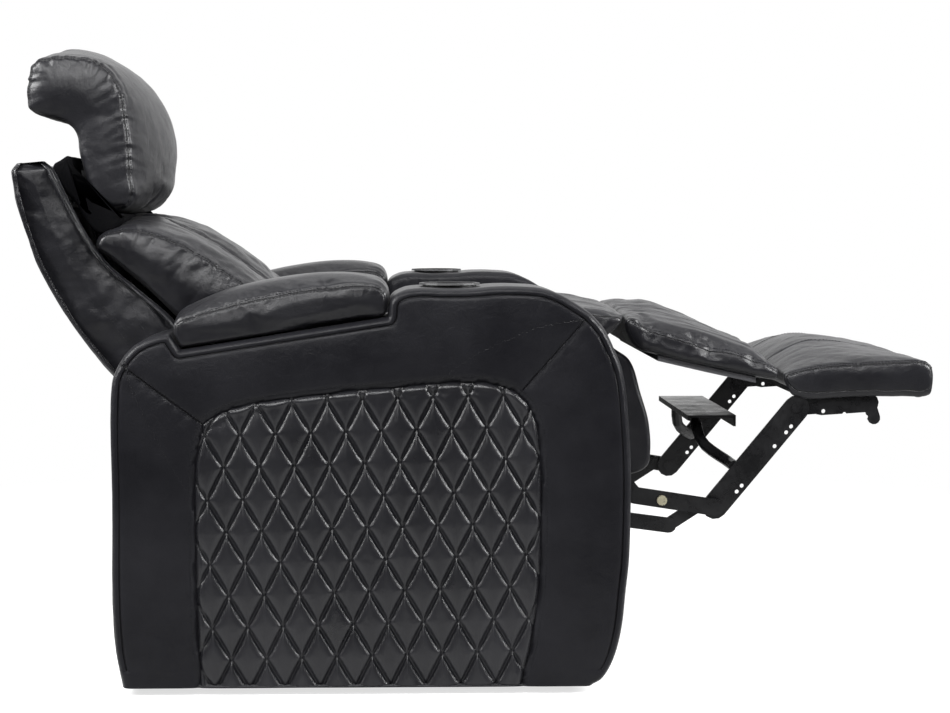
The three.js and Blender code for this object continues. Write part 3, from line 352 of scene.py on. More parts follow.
def sewn(points, line, depth, width, pucker, spacing, reach, seed):
    """A sewn seam, its measures in millimetres: -depth exp(-(d/width)^2), a swell of a third of that beside it,
    and gathers: ridges 1 - 2|noise| along the seam, of height pucker, dying away over reach."""
    depth, width, pucker, spacing, reach = (value * MM for value in (depth, width, pucker, spacing, reach))
    d, along = beside(points, line)
    dip = -depth * bell(d, width) + depth / 3 * bell(d - 2.6 * width, 1.5 * width)
    place = np.column_stack([along + d * 0.25, d * 0.35, np.zeros(len(d))])
    ridges = 1 - 2 * np.abs(cloudy(place, (spacing, spacing * 3, 1), seed=seed, octaves=2))
    return dip + pucker * ridges * np.exp(-d / reach) * (1 - bell(d, width))


def sewn_sides(points, keys, count, width, *measures, seed):
    """The seams along both sides of a pad, width off its middle: the height they give each point, and their two
    lines. The measures are those of sewn, from depth to reach."""
    lines = [seam_line(keys, count, end * width) for end in (-1, 1)]
    return sewn(points, lines[0], *measures, seed - 1) + sewn(points, lines[1], *measures, seed + 1), lines


STITCH_SHARES = np.array([0.0, 0.14, 0.5, 0.86, 1.0])
STITCH_THICK = np.array([0.3, 0.85, 1.0, 0.85, 0.3])
STITCH_TURN = np.linspace(0, 2 * math.pi, 5, endpoint=False)


def on_leather(tree, places):
    found = [tree.find_nearest(Vector(place)) for place in places]
    return np.array([f[0] for f in found], float), np.array([f[1] for f in found], float)


def stitching(name, cloth, lines, body, offsets=(0.0,), pitch=5.4 * MM, long=3.9 * MM, thick=0.45 * MM):
    """Topstitching. At every pitch along a line, moved sideways by an offset and laid on the leather, a short
    thread: rings whose radius grows and shrinks along it, its middle arched and its ends sunk."""
    tree = BVHTree.FromObject(cloth, bpy.context.evaluated_depsgraph_get())
    points = []
    for line in lines:
        run = run_of(line)
        at, up = on_leather(tree, stops_on(line, run, np.arange(pitch, run[-1] - pitch, pitch)))
        side = unit(np.cross(up, np.gradient(at, axis=0)))
        for offset in offsets:
            row, lift = on_leather(tree, at + side * offset) if offset else (at, up)
            t = np.gradient(row, axis=0)
            t = unit(t - (t * lift).sum(1, keepdims=True) * lift)
            n, b = lift[:, None, None], np.cross(lift, t)[:, None, None]
            share = STITCH_SHARES[None, :, None, None]
            around = STITCH_TURN[None, None, :, None]
            radius = thick * STITCH_THICK[None, :, None, None]
            arch = thick * (0.7 - 1.5 * (2 * share - 1)**4)
            points.append((row[:, None, None] + t[:, None, None] * (share - 0.5) * long
                           + n * (arch + radius * np.sin(around)) + b * radius * np.cos(around)).reshape(-1, 3))
    points = np.vstack(points)
    rings, turns = len(STITCH_SHARES), len(STITCH_TURN)
    first = np.arange(len(points) // (rings * turns)) * rings * turns
    quads = (grid_faces(rings, turns, wrap=True)[None] + first[:, None, None]).reshape(-1, 4)
    caps = np.vstack([first[:, None] + np.arange(turns)[::-1], first[:, None] + (rings - 1) * turns + np.arange(turns)])
    made = piece(name, points, quads[:, ::-1], caps[:, ::-1])
    return finish_piece(made, THREAD, body)


def side_seam(points, keys, half):
    """Signed distance from the seam between a pad's side panel and its face: depth inside the side-view outline,
    less depth inside the width."""
    loop = in_place(curve(keys, True, (), 6))
    flat = points[:, [0, 2]]
    depth = distance_to(flat, loop) * np.where(inside(flat, loop), 1, -1)
    return depth - (half - np.abs(points[:, 1]))


def across_line(flat, line):
    """Signed distance from a nearly straight side-view line, by the side of its chord."""
    chord, arm = line[-1] - line[0], flat - line[0]
    return distance_to(flat, line) * np.where(chord[0] * arm[:, 1] - chord[1] * arm[:, 0] > 0, 1, -1)


def nearest_seam(*seams):
    stack = np.array(seams)
    return stack[np.abs(stack).argmin(0), np.arange(stack.shape[1])]


# ---- materials

def feed(tree, value, target):
    """Links a socket to a target, or sets the target to a number or a colour of three numbers."""
    if isinstance(value, bpy.types.NodeSocket):
        tree.links.new(value, target)
    else:
        target.default_value = (*value, 1) if isinstance(value, tuple) else value


def fill(tree, made, *sources, **settings):
    """Fills a shader node: settings go to the inputs of that name (_ for a space) or to its own properties,
    sources to its first inputs."""
    for key, value in settings.items():
        title = key.replace("_", " ")
        if title in made.inputs:
            feed(tree, value, made.inputs[title])
        else:
            setattr(made, key, value)
    for source, target in zip(sources, made.inputs):
        feed(tree, source, target)
    return made


def node(tree, kind, *sources, **settings):
    return fill(tree, tree.nodes.new("ShaderNode" + kind), *sources, **settings)


def ramp(tree, value, low, high, start=0.0, end=1.0):
    return node(tree, "MapRange", value, From_Min=start, From_Max=end, To_Min=low, To_Max=high).outputs["Result"]


def mixed(tree, factor, first, second):
    made = node(tree, "Mix", factor, data_type="RGBA")
    feed(tree, first, made.inputs[6])
    feed(tree, second, made.inputs[7])
    return made.outputs[2]


def material(name, colour, roughness, metallic=0.0, specular=0.5):
    made = bpy.data.materials.new(name)
    made.use_nodes = True
    shader = fill(made.node_tree, made.node_tree.nodes["Principled BSDF"], Base_Color=colour, Roughness=roughness,
                  Metallic=metallic, Specular_IOR_Level=specular)
    return made, made.node_tree, shader


def textures(tree, *kinds):
    """Textures on the piece's own coordinates, as sockets: each kind is a type and its settings."""
    place = node(tree, "TexCoord").outputs["Object"]
    return [node(tree, "Tex" + kind, Vector=place, **settings).outputs["Distance" if kind == "Voronoi" else "Fac"]
            for kind, settings in kinds]


def bumps(tree, shader, *layers):
    """Bump layers one on another: each is (height socket, strength, depth in metres)."""
    last = None
    for height, strength, depth in layers:
        bump = node(tree, "Bump", Height=height, Strength=strength, Distance=depth)
        if last:
            fill(tree, bump, Normal=last)
        last = bump.outputs["Normal"]
    fill(tree, shader, Normal=last)


def leather(name, colour=(0.005, 0.005, 0.0064), worn=(0.009, 0.009, 0.011), roughness=(0.28, 0.4),
            grain=0.3, creases=0.35, specular=0.15):
    """Finished leather: pebbled grain of 1.5 mm cells, faint creases, tone and gloss that drift over the hide,
    and a fine dark line where the seam attribute is near 0."""
    made, tree, shader = material(name, colour, 0.36, specular=specular)
    drift, pores, fine, folds = textures(
        tree, ("Noise", dict(Scale=7.0, Detail=5.0, Roughness=0.6)),
        ("Voronoi", dict(Scale=620.0, feature="DISTANCE_TO_EDGE")), ("Noise", dict(Scale=900.0, Detail=2.0)),
        ("Noise", dict(Scale=38.0, Detail=6.0, Roughness=0.62, Distortion=0.6)))
    hide = mixed(tree, ramp(tree, drift, 0, 1, 0.35, 0.68), colour, worn)
    seam = node(tree, "Attribute", attribute_name="seam")
    gap = node(tree, "Math", seam.outputs["Fac"], operation="ABSOLUTE")
    sewn_in = ramp(tree, gap.outputs[0], 0.0, 1.0, 0.0003, 0.0015)
    fill(tree, shader, Base_Color=mixed(tree, sewn_in, (0.0015, 0.0015, 0.002), hide),
         Roughness=ramp(tree, drift, *roughness, 0.3, 0.7), Sheen_Weight=0.02, Sheen_Roughness=0.4)
    bumps(tree, shader, (sewn_in, 1.0, 0.0016), (folds, creases, 0.004),
          (pores, grain, 0.0009), (fine, grain * 0.5, 0.0003))
    return made


def thread(name):
    """Twisted sewing thread: close slanting strands."""
    made, tree, shader = material(name, (0.008, 0.008, 0.009), 0.7, specular=0.1)
    strands, = textures(tree, ("Wave", dict(Scale=900.0, Distortion=1.0)))
    fill(tree, shader, Base_Color=mixed(tree, strands, (0.006, 0.006, 0.007), (0.014, 0.014, 0.016)))
    bumps(tree, shader, (strands, 0.4, 0.0003))
    return made


def woven(name, dark, pale, specular=0.2):
    """Plain woven lining: two crossed bands of threads."""
    made, tree, shader = material(name, dark, 0.9, specular=specular)
    first, second, blotch = textures(
        tree, *(("Wave", dict(Scale=900.0, bands_direction=way)) for way in "XY"),
        ("Noise", dict(Scale=12.0, Detail=4.0)))
    weave = node(tree, "Math", first, second, operation="MULTIPLY")
    fill(tree, shader, Base_Color=mixed(tree, blotch, dark, pale))
    bumps(tree, shader, (weave.outputs[0], 0.5, 0.0004))
    return made


def painted_steel(name, colour, roughness, scuff=0.1, metallic=0.0, specular=0.5):
    """Powder-coated or plated steel: orange-peel skin, brushed drift in the gloss, faint scuffs."""
    made, tree, shader = material(name, colour, roughness, metallic, specular)
    peel, drift = textures(tree, ("Noise", dict(Scale=420.0, Detail=3.0)),
                           ("Noise", dict(Scale=22.0, Detail=6.0, Roughness=0.7)))
    pale = tuple(min(1, c * 1.6 + 0.004) for c in colour)
    fill(tree, shader, Base_Color=mixed(tree, ramp(tree, drift, 0, 1, 0.4, 0.75), colour, pale),
         Roughness=ramp(tree, drift, roughness - scuff, roughness + scuff, 0.3, 0.7))
    bumps(tree, shader, (peel, 0.25, 0.0004))
    return made


def moulded(name, colour, roughness=0.5):
    """Moulded black plastic with a fine spark-eroded texture."""
    made, tree, shader = material(name, colour, roughness, specular=0.4)
    speck, drift = textures(tree, ("Noise", dict(Scale=1500.0, Detail=2.0)),
                            ("Noise", dict(Scale=30.0, Detail=3.0)))
    pale = tuple(c * 1.35 + 0.002 for c in colour)
    fill(tree, shader, Base_Color=mixed(tree, drift, colour, pale))
    bumps(tree, shader, (speck, 0.3, 0.0003))
    return made


HIDE = leather("black_hide")
SOFT_HIDE = leather("black_hide_soft", roughness=(0.27, 0.38), creases=0.25, specular=0.3)
QUILT_HIDE = leather("black_hide_quilted", roughness=(0.26, 0.34), grain=0.2, creases=0.2, specular=0.4)
THREAD = thread("black_thread")
LINING = woven("grey_lining", (0.05, 0.05, 0.054), (0.085, 0.085, 0.09))
STEEL = painted_steel("black_powder_coat", (0.0045, 0.0045, 0.005), 0.3, specular=0.32)
PLATED = painted_steel("bright_plating", (0.55, 0.56, 0.58), 0.18, 0.06, metallic=1.0)
ZINC = painted_steel("yellow_zinc", (0.62, 0.58, 0.42), 0.28, 0.08, metallic=1.0)
BLACK_CLOTH = woven("black_cloth", (0.0015, 0.0015, 0.002), (0.004, 0.004, 0.0045), 0.04)
PLASTIC = moulded("black_plastic", (0.012, 0.012, 0.013))


def finish_piece(made, look, body, *nodes, slot="black_leather", seam=None):
    """Gives a new piece its material, the body it rides on (none where it bends between two) and the nodes it stands
    for; slot is not used. seam is each point's signed distance from a seam, shown as a fine sunk line."""
    if look in (HIDE, SOFT_HIDE, QUILT_HIDE):
        values = np.full(len(made.data.vertices), NO_SEAM) if seam is None else np.clip(seam, -NO_SEAM, NO_SEAM)
        made.data.attributes.new("seam", "FLOAT", "POINT").data.foreach_set("value", values.astype(np.float32))
    made.data.materials.clear()
    made.data.materials.append(look)
    if body:
        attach(made, body)
    if nodes:
        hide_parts(*nodes)
    return made


# ---- camera, floor and light

IMAGE_WIDTH, FOCAL_PIXELS = 950, 1915.7
YAW, PITCH = math.radians(1.3), math.radians(2.5)

camera_data = bpy.data.cameras.new("camera")
camera_data.lens = camera_data.sensor_width * FOCAL_PIXELS / IMAGE_WIDTH
camera_data.shift_x = 0.0545
camera_data.shift_y = -0.0666
camera = add_object("camera", camera_data)
camera.location = (-0.1577, -3.407, 0.7603)
camera.rotation_euler = (math.pi / 2 - PITCH, 0, -YAW)
bpy.context.scene.camera = camera


def seen_rays(tree):
    """The light path node, and a socket that is 1 for rays from the camera or through glass, else 0."""
    path = node(tree, "LightPath")
    return path, node(tree, "Math", path.outputs["Is Camera Ray"], path.outputs["Is Transmission Ray"],
                      operation="MAXIMUM").outputs[0]


def make_floor():
    """A pale floor: matt near the seat with a white glow that the camera sees, and plain white further off."""
    size, fade_start, fade_end = 14, 1.0, 2.2
    corners = np.array([[-size, -size, 0], [size, -size, 0], [size, size, 0], [-size, size, 0]], float)
    made = piece("floor", corners, np.array([[0, 1, 2, 3]]), smooth=False)
    if made.data.polygons[0].normal.z < 0:
        made.data.flip_normals()
    look = bpy.data.materials.new("pale_floor")
    look.use_nodes = True
    tree = look.node_tree
    tree.nodes.clear()
    seen = seen_rays(tree)[1]
    matt = node(tree, "BsdfDiffuse", Color=(0.42, 0.42, 0.42))
    glow, paper = (node(tree, "Emission", Color=(1, 1, 1), Strength=ramp(tree, seen, unseen, full))
                   for unseen, full in ((0.0, 0.7), (0.1, 1.0)))
    total = node(tree, "AddShader", matt.outputs[0], glow.outputs[0])
    away = node(tree, "VectorMath", node(tree, "TexCoord").outputs["Object"], operation="LENGTH")
    blend = node(tree, "MixShader", ramp(tree, away.outputs["Value"], 0.0, 1.0, fade_start, fade_end),
                 total.outputs[0], paper.outputs[0])
    node(tree, "OutputMaterial", blend.outputs[0])
    made.data.materials.append(look)


def make_world():
    """White where the camera looks. In reflections, white behind the seat and dim in the room before it."""
    world = bpy.data.worlds.new("studio")
    bpy.context.scene.world = world
    world.use_nodes = True
    tree = world.node_tree
    path, seen = seen_rays(tree)
    towards = node(tree, "SeparateXYZ", node(tree, "TexCoord").outputs["Generated"])
    mirrored = node(tree, "Mix", path.outputs["Is Glossy Ray"], data_type="FLOAT")
    feed(tree, 0.2, mirrored.inputs[2])
    feed(tree, ramp(tree, towards.outputs["Y"], 0.06, 1.0, -0.35, 0.5), mirrored.inputs[3])
    shown = node(tree, "Math", seen, mirrored.outputs[0], operation="MAXIMUM")
    fill(tree, tree.nodes["Background"], Color=(1, 1, 1), Strength=shown.outputs[0])


def soft_box(name, place, aim, width, depth, power):
    data = bpy.data.lights.new(name, "AREA")
    data.shape = "RECTANGLE"
    data.size, data.size_y = width, depth
    data.energy = power
    made = add_object(name, data)
    made.location = place
    made.rotation_euler = (Vector(aim) - Vector(place)).to_track_quat("-Z", "Y").to_euler()


make_floor()
make_world()
soft_box("top_box", (0.1, 0.2, 2.9), (0, 0, 0.5), 2.4, 1.0, 20)
soft_box("key_box", (-0.3, -2.2, 2.7), (0, -0.3, 0.4), 2.8, 0.6, 100)
soft_box("side_box", (-0.9, -3.4, 1.9), (-0.2, -0.3, 0.6), 1.0, 0.5, 22)
soft_box("front_box", (2.8, -0.9, 1.9), (0.2, -0.2, 0.5), 1.0, 1.6, 190)
soft_box("rear_box", (-2.7, -0.9, 2.1), (-0.2, -0.2, 0.5), 1.0, 1.6, 170)
bpy.context.scene.view_settings.view_transform = "Standard"


# ---- arms

ARM_REAR = [(15, 0), (3.7, 62), (0, 302), (0, 467), (2.5, 485), (9.5, 502), (20.5, 521)]
ARM_TOP = [(20.5, 521), (37, 537), (58, 548), (78, 554), (91, 556), (108, 530), (432, 581), (437, 610),
           (455, 622), (477, 626), (520, 625), (569, 626), (595, 628.5), (639, 628.5), (675, 625), (704.5, 614),
           (725, 602), (748, 587)]
ARM_FRONT = [(754, 0), (767, 7), (779, 23), (790, 48), (800, 90), (806, 146), (811, 193), (813.5, 272),
             (813.5, 341), (809, 421), (804, 471), (798, 501), (788, 526), (770, 562), (748, 587)]
QUILT_REAR = [(134.5, 3), (129, 154), (127, 302), (129, 357), (140, 416)]
QUILT_TOP = [(140, 416), (151, 424), (177, 438), (243, 453), (328, 464), (436, 474), (545, 482), (587, 480.5),
             (627, 469), (653, 448)]
QUILT_FRONT = [(644, 3), (660, 70), (670, 136), (675, 235), (673, 366), (667, 415), (653, 448)]
REAR_MITRE = [(18, 506), (140, 416)]
FRONT_MITRE = [(740, 577), (643, 468)]
ARM_SEAM_IN, ARM_SEAM_LOW = 13.0, 24
ARM_ROUND = 14 * MM


def patch(left, right, bottom, top, across, up, notched=()):
    """A side-view grid between four lines (Coons patch): the blend of left and right, plus the blend of bottom
    and top, minus the blend of the four corners."""
    s = across[None, :, None]
    t = up[:, None, None]
    rim = lambda keys, stops, sharp=(): at_share(curve(keys, False, sharp), stops)
    l, r = rim(left, up)[:, None], rim(right, up)[:, None]
    b, h = rim(bottom, across)[None], rim(top, across, notched)[None]
    corners = ((1 - s) * (1 - t) * b[:, :1] + s * (1 - t) * b[:, -1:] + (1 - s) * t * h[:, :1] + s * t * h[:, -1:])
    return (1 - s) * l + s * r + (1 - t) * b + t * h - corners


def edge_stops(count, rim, steps=6):
    """Shares from 0 to 1, closer together within rim of both ends, for a rounded edge."""
    near = rim * (1 - np.cos(np.linspace(0, math.pi / 2, steps, endpoint=False)))
    middle = np.linspace(rim, 1 - rim, count)
    return np.r_[near, middle, 1 - near[::-1]]


def grid_rim(rows, columns):
    """The outer points of a grid, in order round it."""
    index = np.arange(rows * columns).reshape(rows, columns)
    return np.r_[index[0, :-1], index[:-1, -1], index[-1, :0:-1], index[:0:-1, 0]]


def ring_faces(first, second):
    """Quads between two rings of points."""
    return np.column_stack([np.roll(first, -1), first, second, np.roll(second, -1)])


def slab_between(name, flat, far_y, near_y, strip_rows):
    """Closes two matching side-view grids into one skin: far grid, near grid, and the strip of rows between their
    rims. flat is the grid in metres; far_y and near_y give each point's width place."""
    rows, columns = flat.shape[:2]
    far, near = (np.dstack([flat[..., 0], y, flat[..., 1]]).reshape(-1, 3) for y in (far_y, near_y))
    rim = grid_rim(rows, columns)
    blend = np.linspace(0, 1, strip_rows + 2)[1:-1]
    strip = far[rim][None] * (1 - blend)[:, None, None] + near[rim][None] * blend[:, None, None]
    size, ring = rows * columns, np.arange(len(rim))
    loops = [rim] + [2 * size + i * len(rim) + ring for i in range(strip_rows)] + [rim + size]
    quads = [grid_faces(rows, columns), grid_faces(rows, columns)[:, ::-1] + size]
    quads += [ring_faces(first, second) for first, second in zip(loops[:-1], loops[1:])]
    return piece(name, np.vstack([far, near, strip.reshape(-1, 3)]), np.vstack(quads))


def close_over(made, *rims):
    """Closes a mesh with one flat face over each rim, and turns every face outwards."""
    points = coordinates(made)
    faces = [list(face.vertices) for face in made.data.polygons] + [rim.tolist() for rim in rims]
    made.data.clear_geometry()
    made.data.from_pydata(points.tolist(), [], faces)
    work = bmesh.new()
    work.from_mesh(made.data)
    bmesh.ops.recalc_face_normals(work, faces=work.faces)
    work.to_mesh(made.data)
    work.free()
    shade_smooth(made)
    made.data.update()


def rough_outline(rear, top, front, sharp=()):
    """The side-view loop over the rear, top and front keys, open at the floor, in millimetres."""
    return np.vstack([curve(rear, fine=5), curve(top, sharp=sharp, fine=5)[1:], curve(front, fine=5)[::-1][1:]])


NOTCH = (4, 5, 6)
ARM_OUTLINE = rough_outline(ARM_REAR, ARM_TOP, ARM_FRONT, NOTCH)
QUILT_OUTLINE = rough_outline(QUILT_REAR, QUILT_TOP, QUILT_FRONT)
QUILT_BORDER = QUILT_OUTLINE[QUILT_OUTLINE[:, 1] > 8]


def arm_cover(name, side):
    """The arm's leather skin: two side faces and the strip between them. Each face lies at its plane minus
    r - sqrt(r^2 - (r - d)^2), d being the distance to the outline and r the edge's radius; seams dip into it
    and the leather between them stands a little proud."""
    across, up = edge_stops(190, 0.016), edge_stops(150, 0.02)
    flat = patch(ARM_REAR, ARM_FRONT, [(15, 0), (384, 0), (754, 0)], ARM_TOP, across, up, NOTCH)
    mm = flat.reshape(-1, 2)
    d = distance_to(mm, ARM_OUTLINE) * MM
    to_seam = np.where(mm[:, 1] < ARM_SEAM_LOW, 30, np.abs(d / MM - ARM_SEAM_IN))
    to_mitre = np.minimum(distance_to(mm, curve(REAR_MITRE)), distance_to(mm, curve(FRONT_MITRE)))
    to_quilt = distance_to(mm, QUILT_OUTLINE)
    in_quilt = inside(mm, QUILT_OUTLINE)
    near = np.minimum(np.minimum(to_seam, to_mitre), np.where(in_quilt, 0, to_quilt))
    proud = 3.2 * (1 - np.exp(-near / 16))
    spots = np.column_stack([mm[:, 0], np.full(len(mm), side * 50.0), mm[:, 1]])
    waves = 0.5 * cloudy(spots, (60, 60, 90), seed=3 + side) * (1 - np.exp(-near / 14))
    from_rear_mitre = np.hypot(mm[:, 0] - 20, mm[:, 1] - 505)
    puckers = 0.55 * np.sin(from_rear_mitre / 3.4) * bell(to_mitre, 9)
    dips = (-2.0 * bell(to_seam, 1.9) - 1.7 * bell(to_mitre, 1.8) - 3.0 * bell(to_quilt, 4) * ~in_quilt
            - 9.5 * ease(to_quilt, 0, 5) * in_quilt)
    rounded = np.where(d < ARM_ROUND, ARM_ROUND - np.sqrt(np.maximum(ARM_ROUND**2 - (ARM_ROUND - d)**2, 0)), 0)
    outer = ARM_OUTER - 1.5 * MM - rounded + (proud + waves + puckers + dips) * MM * ease(d, 0, 0.006)
    plain = ARM_INNER + rounded - (1.0 * MM) * (1 - np.exp(-d / 0.03))
    shape = flat.shape[:2]
    return slab_between(name, flat * MM + FOOT, side * outer.reshape(shape), side * plain.reshape(shape), 22)


def outside(line, gap):
    """A side-view line moved to its left by gap, in millimetres."""
    way = unit(np.gradient(line, axis=0))
    return line + np.column_stack([-way[:, 1], way[:, 0]]) * gap


def cutter(name, parts):
    """One mesh from several closed parts, to cut with."""
    points, faces = [], []
    for some_points, some_faces in parts:
        faces += [[int(i) + len(points) for i in face] for face in some_faces]
        points += some_points.tolist()
    mesh = bpy.data.meshes.new(name)
    mesh.from_pydata(points, [], faces)
    mesh.update()
    return add_object(name, mesh)


def block_part(low, high):
    x, y, z = zip(low, high)
    points = np.array([(i, j, k) for i in x for j in y for k in z])
    faces = [(0, 1, 3, 2), (4, 6, 7, 5), (0, 4, 5, 1), (2, 3, 7, 6), (0, 2, 6, 4), (1, 5, 7, 3)]
    return points, faces


def tube_part(centre, radius, low, high, count=72):
    turn = np.linspace(0, 2 * math.pi, count, endpoint=False)
    ring = np.column_stack([centre[0] + radius * np.cos(turn), centre[1] + radius * np.sin(turn)])
    points = np.vstack([np.column_stack([ring, np.full(count, z)]) for z in (low, high)])
    faces = [list(range(count))[::-1], list(range(count, 2 * count))]
    faces += [(i, (i + 1) % count, count + (i + 1) % count, count + i) for i in range(count)]
    return points, faces


def make_arm(name, side):
    """The arm's cover, cut open over its bin and cup holder and, on the right, behind the control panel."""
    made = arm_cover(f"arm_cover_{name}", side)
    bin_low, bin_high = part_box(f"storage_bin_{name}")
    cup_low, cup_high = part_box(f"cup_holder_{name}")
    gap, cup_flange, open_top = 0.4 * MM, 5 * MM, 1.0
    parts = [
        block_part((bin_low.x - gap, bin_low.y - gap, bin_low.z - gap),
                   (bin_high.x + gap, bin_high.y + gap, open_top)),
        tube_part(((cup_low.x + cup_high.x) / 2, (cup_low.y + cup_high.y) / 2),
                  (cup_high.x - cup_low.x) / 2 - cup_flange, cup_low.z - gap, open_top),
    ]
    if side < 0:
        low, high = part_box("control_panel")
        depth, recess, rim_x, rim_z = 0.1, 0.011, 6 * MM, 4 * MM
        parts += [
            block_part((low.x - gap, low.y - gap, low.z - gap), (high.x + gap, low.y + depth, high.z + gap)),
            block_part((low.x + rim_x, low.y - recess, low.z + rim_z),
                       (high.x - rim_x, low.y + depth, high.z - rim_z)),
        ]
    tool = cutter("arm_tool", parts)
    apply_modifier(made, "BOOLEAN", operation="DIFFERENCE", object=tool, solver="FAST")
    bpy.data.objects.remove(tool)
    shade_smooth(made)
    points = coordinates(made)
    flat = points[:, [0, 2]]
    edge_seam = distance_to(flat, in_place(ARM_OUTLINE)) - ARM_SEAM_IN * MM
    edge_seam[flat[:, 1] < z_at(ARM_SEAM_LOW)] = NO_SEAM
    seams = nearest_seam(edge_seam, *[across_line(flat, in_place(line_through(keys, 12)))
                                      for keys in (REAR_MITRE, FRONT_MITRE)])
    seams = np.where(np.abs(points[:, 1]) > ARM_OUTER - 20 * MM, seams, NO_SEAM)
    finish_piece(made, HIDE, "base", f"arm_{name}", seam=seams)
    face = side * ARM_OUTER
    mitres = [seam_line(keys, 30, face) for keys in (REAR_MITRE, FRONT_MITRE)]
    stitching(f"arm_mitre_stitching_{name}", made, mitres, "base", (-2.6 * MM, 2.6 * MM))
    stitching(f"arm_border_stitching_{name}", made, [at_width(in_place(outside(QUILT_BORDER, 5.0)), face)], "base")


QUILT_START = np.array([200.6, 397.0])
QUILT_DOWN_LEFT = np.array([-25.7, -51.3])
QUILT_DOWN_RIGHT = np.array([29.4, -49.7])
QUILT_HEIGHT = 8.5
QUILT_FACE = ARM_OUTER - 7.2 * MM
QUILT_THICK = 8 * MM


def make_quilt(name, side):
    """The quilted panel: a pillow in each diamond of the lattice, 1 - exp(-(d/s)^1.15) up from the nearest seam,
    where d = (du^-4 + dv^-4)^(-1/4) for the distances to the seams of the two slants, on a side-view patch."""
    across, up = edge_stops(300, 0.012, 4), edge_stops(260, 0.014, 4)
    flat = patch(QUILT_REAR, QUILT_FRONT, [(134.5, 3), (390, 3), (644, 3)], QUILT_TOP, across, up)
    rows, columns = flat.shape[:2]
    mm = flat.reshape(-1, 2)
    slants = np.column_stack([QUILT_DOWN_LEFT, QUILT_DOWN_RIGHT])
    shares = np.linalg.solve(slants, (mm - QUILT_START).T)
    steps = abs(np.linalg.det(slants)) / np.linalg.norm(slants[:, ::-1], axis=0)
    du, dv = np.abs(shares - np.round(shares)) * steps[:, None]
    border = distance_to(mm, QUILT_OUTLINE)
    rise = lambda d, soft: 1 - np.exp(-(d / soft)**1.15)
    near = (np.maximum(du, 0.02)**-4 + np.maximum(dv, 0.02)**-4)**-0.25
    pillow = rise(near, 6.5) * rise(border, 9.0)
    spots = np.column_stack([mm[:, 0], np.full(len(mm), 9.0 * side), mm[:, 1]])
    pull = 0.5 * cloudy(spots, (14, 20, 26), seed=11, octaves=2) * rise(du, 5) * rise(dv, 5)
    height = (QUILT_HEIGHT * pillow + pull * pillow - 1.6 * bell(du, 1.3) - 1.6 * bell(dv, 1.3)
              + 2.2 * bell(border - 10, 5) - 4.5 * bell(border, 2.5))
    front = np.column_stack([mm[:, 0], side * (QUILT_FACE / MM + height), mm[:, 1]]) * MM
    front[:, [0, 2]] += FOOT
    rim = grid_rim(rows, columns)
    back = front[rim]
    back[:, 1] = side * (QUILT_FACE - QUILT_THICK)
    edge = np.arange(len(rim)) + len(front)
    made = piece(f"quilting_{name}", np.vstack([front, back]),
                 np.vstack([grid_faces(rows, columns), ring_faces(rim, edge)]))
    close_over(made, edge)
    finish_piece(made, QUILT_HIDE, "base", f"quilted_panel_{name}")
    hem = at_width(in_place(outside(QUILT_BORDER, -5.5)), side * ARM_OUTER)
    stitching(f"quilting_border_stitching_{name}", made, [hem], "base")


for side_name, side_sign in SIDES:
    make_arm(side_name, side_sign)
    make_quilt(side_name, side_sign)


# ---- arm lids

LID_SIDE = [(107.6, 532), (98, 556), (100, 570), (127, 583), (190, 602), (270, 619), (350, 629), (397, 631),
            (418, 627), (429, 616), (431, 600), (430, 583)]
LID_MIDDLE = [(107.6, 532), (96, 564), (104, 588), (127, 601), (190, 624), (270, 640), (350, 648), (397, 645),
              (422, 637), (432, 624), (433, 600), (431, 583)]

LID_HALF = 69 * MM


def make_lid(name, side):
    """The arm pad: a long pad, its crown over a side seam, gathered at both ends."""
    made = loft(f"arm_pad_{name}", LID_SIDE, LID_MIDDLE, LID_HALF, 9 * MM, power=2.6, rows=26, sharp=(0, 11))
    points = plump(made, lambda p: ease(p[:, 2], z_at(560), z_at(545)), cap=3.5 * MM, voxel=0.0045, looser=0.0)[0]
    push(made, sewn_sides(points, LID_SIDE[1:11], 120, LID_HALF - 1.5 * MM, 2.2, 2.6, 1.0, 12, 12, seed=23)[0])
    points = coordinates(made)
    ends = sum(bell(points[:, 0] - x_at(x), 0.05) for x in (425, 105))
    creases = cloudy(points, (0.05, 0.012, 0.05), seed=21, octaves=2) * ends * 1.1 * MM
    push(made, creases + cloudy(points, (0.07, 0.04, 0.07), seed=5) * 0.4 * MM)
    points = coordinates(made)
    seams = side_seam(points, LID_SIDE, LID_HALF)
    points[:, 1] += side * ARM_MIDDLE
    set_coordinates(made, points)
    finish_piece(made, SOFT_HIDE, f"arm_lid_{name}", f"arm_lid_{name}", seam=seams)
    lines = [seam_line(LID_SIDE[1:11], 120, side * ARM_MIDDLE + end * LID_HALF)[4:-4] for end in (-1, 1)]
    stitching(f"arm_pad_stitching_{name}", made, lines, f"arm_lid_{name}", (-3.2 * MM, 3.2 * MM))


for side_name, side_sign in SIDES:
    make_lid(side_name, side_sign)


# ---- back

SHELL_REAR = [(96, 378), (40, 415), (-18, 473), (-75, 542), (-112, 599), (-144, 661), (-158, 700), (-176, 758),
              (-187, 823)]
SHELL_FRONT = [(124, 394), (128, 432), (120, 500), (76, 570), (20, 620), (-25, 658), (-50, 690), (-90, 762),
               (-121, 828)]
SHELL_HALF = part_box("back_shell")[1].y
SHELL_WALL, SHELL_WING = 44 * MM, 27 * MM
CORNER, POCKET_CORNER = 10 * MM, 6 * MM
SECTION_STEP = 3.5 * MM
REAR_SEAM_Y = 0.15


def side_face(normals):
    """1 where a face looks sideways, 0 where it looks to the front, the rear, up or down."""
    return ease(np.abs(normals[:, 1]), 0.5, 0.9)


def shell_line(share):
    """A side-view line part of the way from the shell's rear line to its front line."""
    rear, front = np.array(SHELL_REAR), np.array(SHELL_FRONT)
    return in_place(line_through(rear + (front - rear) * share, 120))


